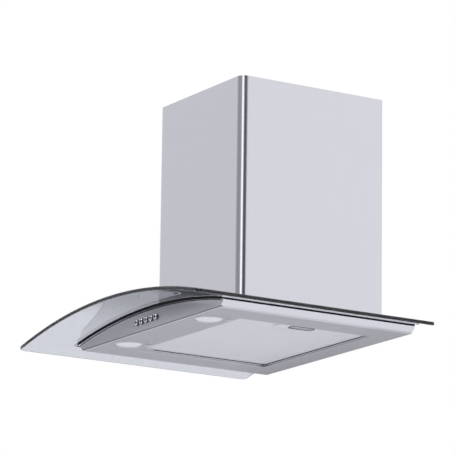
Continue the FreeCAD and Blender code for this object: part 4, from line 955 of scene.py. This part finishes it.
class HOOD_OT_screw_heads(bpy.types.Operator):
    """Pan-head screws with a cross recess, beside the lamps, on the roof and on the motor"""

    bl_idname = "hood.screw_heads"
    bl_label = "Cross-head screws"

    head_height = 2.2 * MM
    head_radius = 3.8 * MM
    head_round = 1.3 * MM
    shank_radius = 2.0 * MM
    bar_size = (3.6 * MM, 0.9 * MM, 3.0 * MM)
    bar_above_head = 0.2 * MM
    bar_taper = 0.55

    def execute(self, context):
        down, up, left = Vector((0, 0, -1)), Vector((0, 0, 1)), Vector((-1, 0, 0))
        for node, out in (("lamp_screws", down), ("roof_screws", up), ("motor_screws", left)):
            self.replace(node, out)
        return {"FINISHED"}

    def replace(self, node, out):
        """Stands a screw in each place where the node has one, its head pointing out."""
        screws = []
        turn = out.to_track_quat("Z", "Y").to_matrix().to_4x4()
        for low, high in solids_of(node):
            length = abs((high - low).dot(out))
            seat = (low + high) / 2 + out * (length / 2 - self.head_height)
            screw = self.screw(length - self.head_height)
            screw.matrix_world = Matrix.Translation(seat) @ turn
            settle(screw)
            screws.append(screw)
        piece = joined(screws)
        finish_piece(piece, node + "_crosshead", "hood", zinc_plate())
        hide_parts(node)

    def screw(self, length):
        """One screw along Z with its head's seat at the origin."""
        deselect()
        bpy.ops.mesh.primitive_cylinder_add(
            vertices=24,
            radius=self.head_radius,
            depth=self.head_height,
            location=(0, 0, self.head_height / 2),
        )
        piece = bpy.context.object
        settle(piece)
        edit_picked(piece, "FACE", lambda face: face.normal.z > 0.9)
        bpy.ops.mesh.bevel(offset=self.head_round, segments=3, profile=0.55)
        object_mode()
        edit_picked(piece, "FACE", lambda face: face.normal.z < -0.9)
        bpy.ops.mesh.inset(thickness=self.head_radius - self.shank_radius)
        bpy.ops.mesh.extrude_region_move(TRANSFORM_OT_translate={"value": (0, 0, -length)})
        object_mode()
        for angle in (0, math.pi / 2):
            self.cut_bar(piece, angle)
        return piece

    def cut_bar(self, piece, angle):
        """Takes one bar of the cross out of the head, narrower towards its floor."""
        deselect()
        bpy.ops.mesh.primitive_cube_add(
            size=1.0,
            location=(0, 0, self.head_height + self.bar_above_head),
            rotation=(0, 0, angle),
        )
        bar = bpy.context.object
        bar.scale = self.bar_size
        settle(bar)
        edit_picked(bar, "FACE", lambda face: face.normal.z < -0.9)
        bpy.ops.transform.resize(value=(self.bar_taper, self.bar_taper, 1.0))
        object_mode()
        cut = piece.modifiers.new("recess", "BOOLEAN")
        cut.operation = "DIFFERENCE"
        cut.solver = "EXACT"
        cut.object = bar
        only(piece)
        bpy.ops.object.modifier_apply(modifier=cut.name)
        bpy.data.objects.remove(bar)


class HOOD_OT_finger_hole_lip(bpy.types.Operator):
    """Dark moulded lip round the finger hole in the filter's latch"""

    bl_idname = "hood.finger_hole_lip"
    bl_label = "Finger hole lip"

    bead = 0.75 * MM
    corner = 5.0 * MM
    margin = 1.0 * MM
    segments = 24

    def execute(self, context):
        look = context.scene.hood_finish
        case_low, case_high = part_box("latch_case")
        middle = (case_low + case_high) / 2
        deselect()
        bpy.ops.mesh.primitive_torus_add(
            major_segments=self.segments,
            minor_segments=10,
            major_radius=self.corner,
            minor_radius=self.bead,
            rotation=(0, 0, math.pi / self.segments),
        )
        piece = bpy.context.object
        settle(piece)
        for axis, length in enumerate(look.finger_hole):
            stretch = length / 2 - self.corner + self.margin
            for side in (-1, 1):
                shift = [0, 0, 0]
                shift[axis] = side * stretch
                edit_picked(piece, "VERT", lambda vertex: vertex.co[axis] * side > 0)
                bpy.ops.transform.translate(value=shift)
                object_mode()
        edit_all(piece)
        bpy.ops.mesh.bisect(plane_co=(0, 0, 0), plane_no=(0, 0, 1), clear_outer=True, use_fill=True)
        object_mode()
        bpy.ops.object.shade_smooth_by_angle(angle=math.radians(40))
        offset = look.finger_hole_offset
        piece.location = (middle.x + offset[0], middle.y + offset[1], case_low.z)
        lip = speckled(
            "moulded_lip", (0.06, 0.06, 0.063), 0.6, depth=0.12, Specular_IOR_Level=0.15
        )
        finish_piece(piece, "finger_hole_lip", "filter", lip)
        return {"FINISHED"}


class HOOD_OT_gasket_lip(bpy.types.Operator):
    """Front edge of the rubber strip, squeezed out and up over the plate's edge"""

    bl_idname = "hood.gasket_lip"
    bl_label = "Gasket lip"

    swell = 0.85 * MM
    slice_depth = 0.4 * MM
    flatten = 0.42
    proud = 0.65 * MM
    upstand = 0.7 * MM

    def execute(self, context):
        gasket_low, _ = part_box("glass_gasket")
        front = min(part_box(name)[0].y for name in ("top_plate", "canopy_rim"))
        piece = copy_of(NODES["glass_gasket"])
        piece.parent = None
        edit_all(piece)
        bpy.ops.mesh.remove_doubles(threshold=WELD)
        bpy.ops.mesh.bisect(
            plane_co=(0, gasket_low.y + self.slice_depth, 0),
            plane_no=(0, 1, 0),
            clear_outer=True,
            use_fill=True,
        )
        bpy.ops.mesh.select_all(action="SELECT")
        bpy.ops.mesh.normals_make_consistent(inside=False)
        bpy.ops.transform.shrink_fatten(value=self.swell)
        bpy.ops.transform.resize(value=(1, self.flatten, 1))
        edit_picked(piece, "FACE", lambda face: face.normal.z > 0.5)
        bpy.ops.transform.translate(value=(0, 0, self.upstand))
        object_mode()
        foremost = min(vertex.co.y for vertex in piece.data.vertices)
        piece.location.y = front - self.proud - foremost
        finish_piece(piece, "gasket_lip", "hood", Kit.materials["rubber"])
        return {"FINISHED"}


# ------------------------------------------------------------------ operators: studio


class HOOD_OT_studio(bpy.types.Operator):
    """Pale floor, soft light and the camera"""

    bl_idname = "hood.studio"
    bl_label = "Studio"

    floor_size = 30.0
    pool_radius = 10.0
    softbox_place = Vector((0.6, -0.8, 3.2))
    softbox_aim = Vector((0, -0.2, 0))
    softbox_size = 3.0
    softbox_power = 90.0
    overhead_color = (1.1, 1.1, 1.12)
    # Angle round the hood from straight in front, in degrees, and the brightness there.
    surroundings = (
        (-180, 1.00),
        (-100, 1.00),
        (-80, 0.86),
        (-50, 0.86),
        (-36, 0.50),
        (-10, 0.33),
        (30, 0.40),
        (37, 1.80),
        (54, 2.00),
        (60, 0.25),
        (70, 0.03),
        (97, 0.05),
        (105, 0.30),
        (111, 1.12),
        (150, 1.12),
    )

    def execute(self, context):
        studio = context.scene.hood_studio
        self.add_floor(studio)
        self.add_camera(context, studio)
        self.add_world(context)
        self.add_softbox(context)
        return {"FINISHED"}

    def add_floor(self, studio):
        bpy.ops.mesh.primitive_plane_add(
            size=self.floor_size, location=(0, 0, studio.floor_height)
        )
        floor = bpy.context.object
        floor.name = "studio_floor"
        floor.data.materials.append(Kit.material("studio_paper", self.paper))

    def paper(self, n):
        """Pale paper with a painted pool of light, lightest under the hood, and clear from below.
        """
        shader = surface(n, Roughness=0.85, Specular_IOR_Level=0.1)
        shrink = 1 / self.pool_radius
        # Painted pool of light: the paper's colour goes from grey far out to pale under the hood.
        painted_pool = n.add("ShaderNodeTexGradient", gradient_type="SPHERICAL")
        n.join(n.mapping(n.place(), scale=(shrink, shrink, shrink)), painted_pool.inputs["Vector"])
        edge = n.add("ShaderNodeValToRGB")
        n.join(painted_pool.outputs[1], edge.inputs[0])
        outer, inner = edge.color_ramp.elements
        outer.position, outer.color = 0.25, (0.26, 0.26, 0.275, 1.0)
        inner.position, inner.color = 0.55, (0.90, 0.90, 0.93, 1.0)
        n.join(edge.outputs[0], shader.inputs["Base Color"])
        clear = n.add("ShaderNodeBsdfTransparent")
        side = n.add("ShaderNodeNewGeometry")
        either = n.add("ShaderNodeMixShader")
        n.join(side.outputs["Backfacing"], either.inputs[0])
        n.join(shader.outputs[0], either.inputs[1])
        n.join(clear.outputs[0], either.inputs[2])
        n.join(either.outputs[0], n.output().inputs["Surface"])

    def add_camera(self, context, studio):
        a, e, r = studio.azimuth, studio.elevation, studio.roll
        back = Vector((math.sin(a) * math.cos(e), -math.cos(a) * math.cos(e), math.sin(e)))
        right = Vector((math.cos(a), math.sin(a), 0))
        up = back.cross(right)
        rolled_right = right * math.cos(r) + up * math.sin(r)
        rolled_up = up * math.cos(r) - right * math.sin(r)
        aim = Vector(studio.aim) + right * studio.aim_shift[0] + up * studio.aim_shift[1]
        data = bpy.data.cameras.new("camera")
        data.lens = studio.lens
        data.sensor_width = 36.0
        data.clip_end = 100.0
        camera = bpy.data.objects.new("camera", data)
        context.scene.collection.objects.link(camera)
        turn = Matrix((rolled_right, rolled_up, back)).transposed()
        camera.matrix_world = Matrix.Translation(aim + back * studio.distance) @ turn.to_4x4()
        context.scene.camera = camera

    def add_world(self, context):
        """Bright and dark surroundings for the steel to reflect, before a white backdrop."""
        world = bpy.data.worlds.new("studio_light")
        context.scene.world = world
        world.use_nodes = True
        n = Nodes(world.node_tree)
        x, y, z = n.axes(n.add("ShaderNodeTexCoord").outputs["Generated"])
        around = n.add("ShaderNodeMapRange")
        around.inputs["From Min"].default_value = -math.pi
        around.inputs["From Max"].default_value = math.pi
        turn = n.math("ARCTAN2", x, n.math("MULTIPLY", y, -1.0))
        n.join(turn, around.inputs["Value"])
        ramp = n.add("ShaderNodeValToRGB")
        n.join(around.outputs[0], ramp.inputs[0])
        self.fill_ramp(ramp)
        height = n.math("POWER", n.spread(z, 0.0, 1.0), 2.0)
        light = n.add("ShaderNodeBackground")
        n.join(n.mix(height, ramp.outputs[0], self.overhead_color), light.inputs["Color"])
        backdrop = n.add("ShaderNodeBackground")
        backdrop.inputs["Color"].default_value = (1.0, 1.0, 1.0, 1.0)
        rays = n.add("ShaderNodeLightPath")
        mixed = n.add("ShaderNodeMixShader")
        n.join(rays.outputs["Is Camera Ray"], mixed.inputs[0])
        n.join(light.outputs[0], mixed.inputs[1])
        n.join(backdrop.outputs[0], mixed.inputs[2])
        output = n.add("ShaderNodeOutputWorld")
        n.join(mixed.outputs[0], output.inputs["Surface"])

    def fill_ramp(self, ramp):
        elements = ramp.color_ramp.elements
        while len(elements) > 1:
            elements.remove(elements[-1])
        for index, (angle, value) in enumerate(self.surroundings):
            place = (angle + 180.0) / 360.0
            element = elements[0] if index == 0 else elements.new(place)
            element.position = place
            element.color = (value * 0.985, value * 0.985, value * 1.04, 1.0)

    def add_softbox(self, context):
        data = bpy.data.lights.new("overhead_softbox", "AREA")
        data.size = self.softbox_size
        data.energy = self.softbox_power
        light = bpy.data.objects.new("overhead_softbox", data)
        context.scene.collection.objects.link(light)
        away = self.softbox_place - self.softbox_aim
        turn = away.to_track_quat("Z", "Y").to_matrix().to_4x4()
        light.matrix_world = Matrix.Translation(self.softbox_place) @ turn


class HOOD_PT_panel(bpy.types.Panel):
    """Lists the hood's operators and settings"""

    bl_idname = "HOOD_PT_panel"
    bl_label = "Range hood"
    bl_space_type = "VIEW_3D"
    bl_region_type = "UI"
    bl_category = "Hood"

    def draw(self, context):
        layout = self.layout
        for settings in (context.scene.hood_finish, context.scene.hood_studio):
            box = layout.box()
            for name in settings.__annotations__:
                box.prop(settings, name)
        for operator in OPERATORS:
            layout.operator(operator.bl_idname)


OPERATORS = (
    HOOD_OT_steel_panels,
    HOOD_OT_glass,
    HOOD_OT_rubber_and_plastic,
    HOOD_OT_inner_metal,
    HOOD_OT_chrome,
    HOOD_OT_button_figures,
    HOOD_OT_screw_heads,
    HOOD_OT_finger_hole_lip,
    HOOD_OT_gasket_lip,
    HOOD_OT_studio,
)
CLASSES = (HoodFinish, HoodStudio, *OPERATORS, HOOD_PT_panel)


def register():
    for cls in CLASSES:
        bpy.utils.register_class(cls)
    bpy.types.Scene.hood_finish = PointerProperty(type=HoodFinish)
    bpy.types.Scene.hood_studio = PointerProperty(type=HoodStudio)


def unregister():
    del bpy.types.Scene.hood_studio
    del bpy.types.Scene.hood_finish
    for cls in reversed(CLASSES):
        bpy.utils.unregister_class(cls)


def main():
    register()
    bpy.context.scene.view_settings.view_transform = "Standard"
    for operator in OPERATORS:
        group, name = operator.bl_idname.split(".")
        getattr(getattr(bpy.ops, group), name)()


if __name__ == "__main__":
    main()
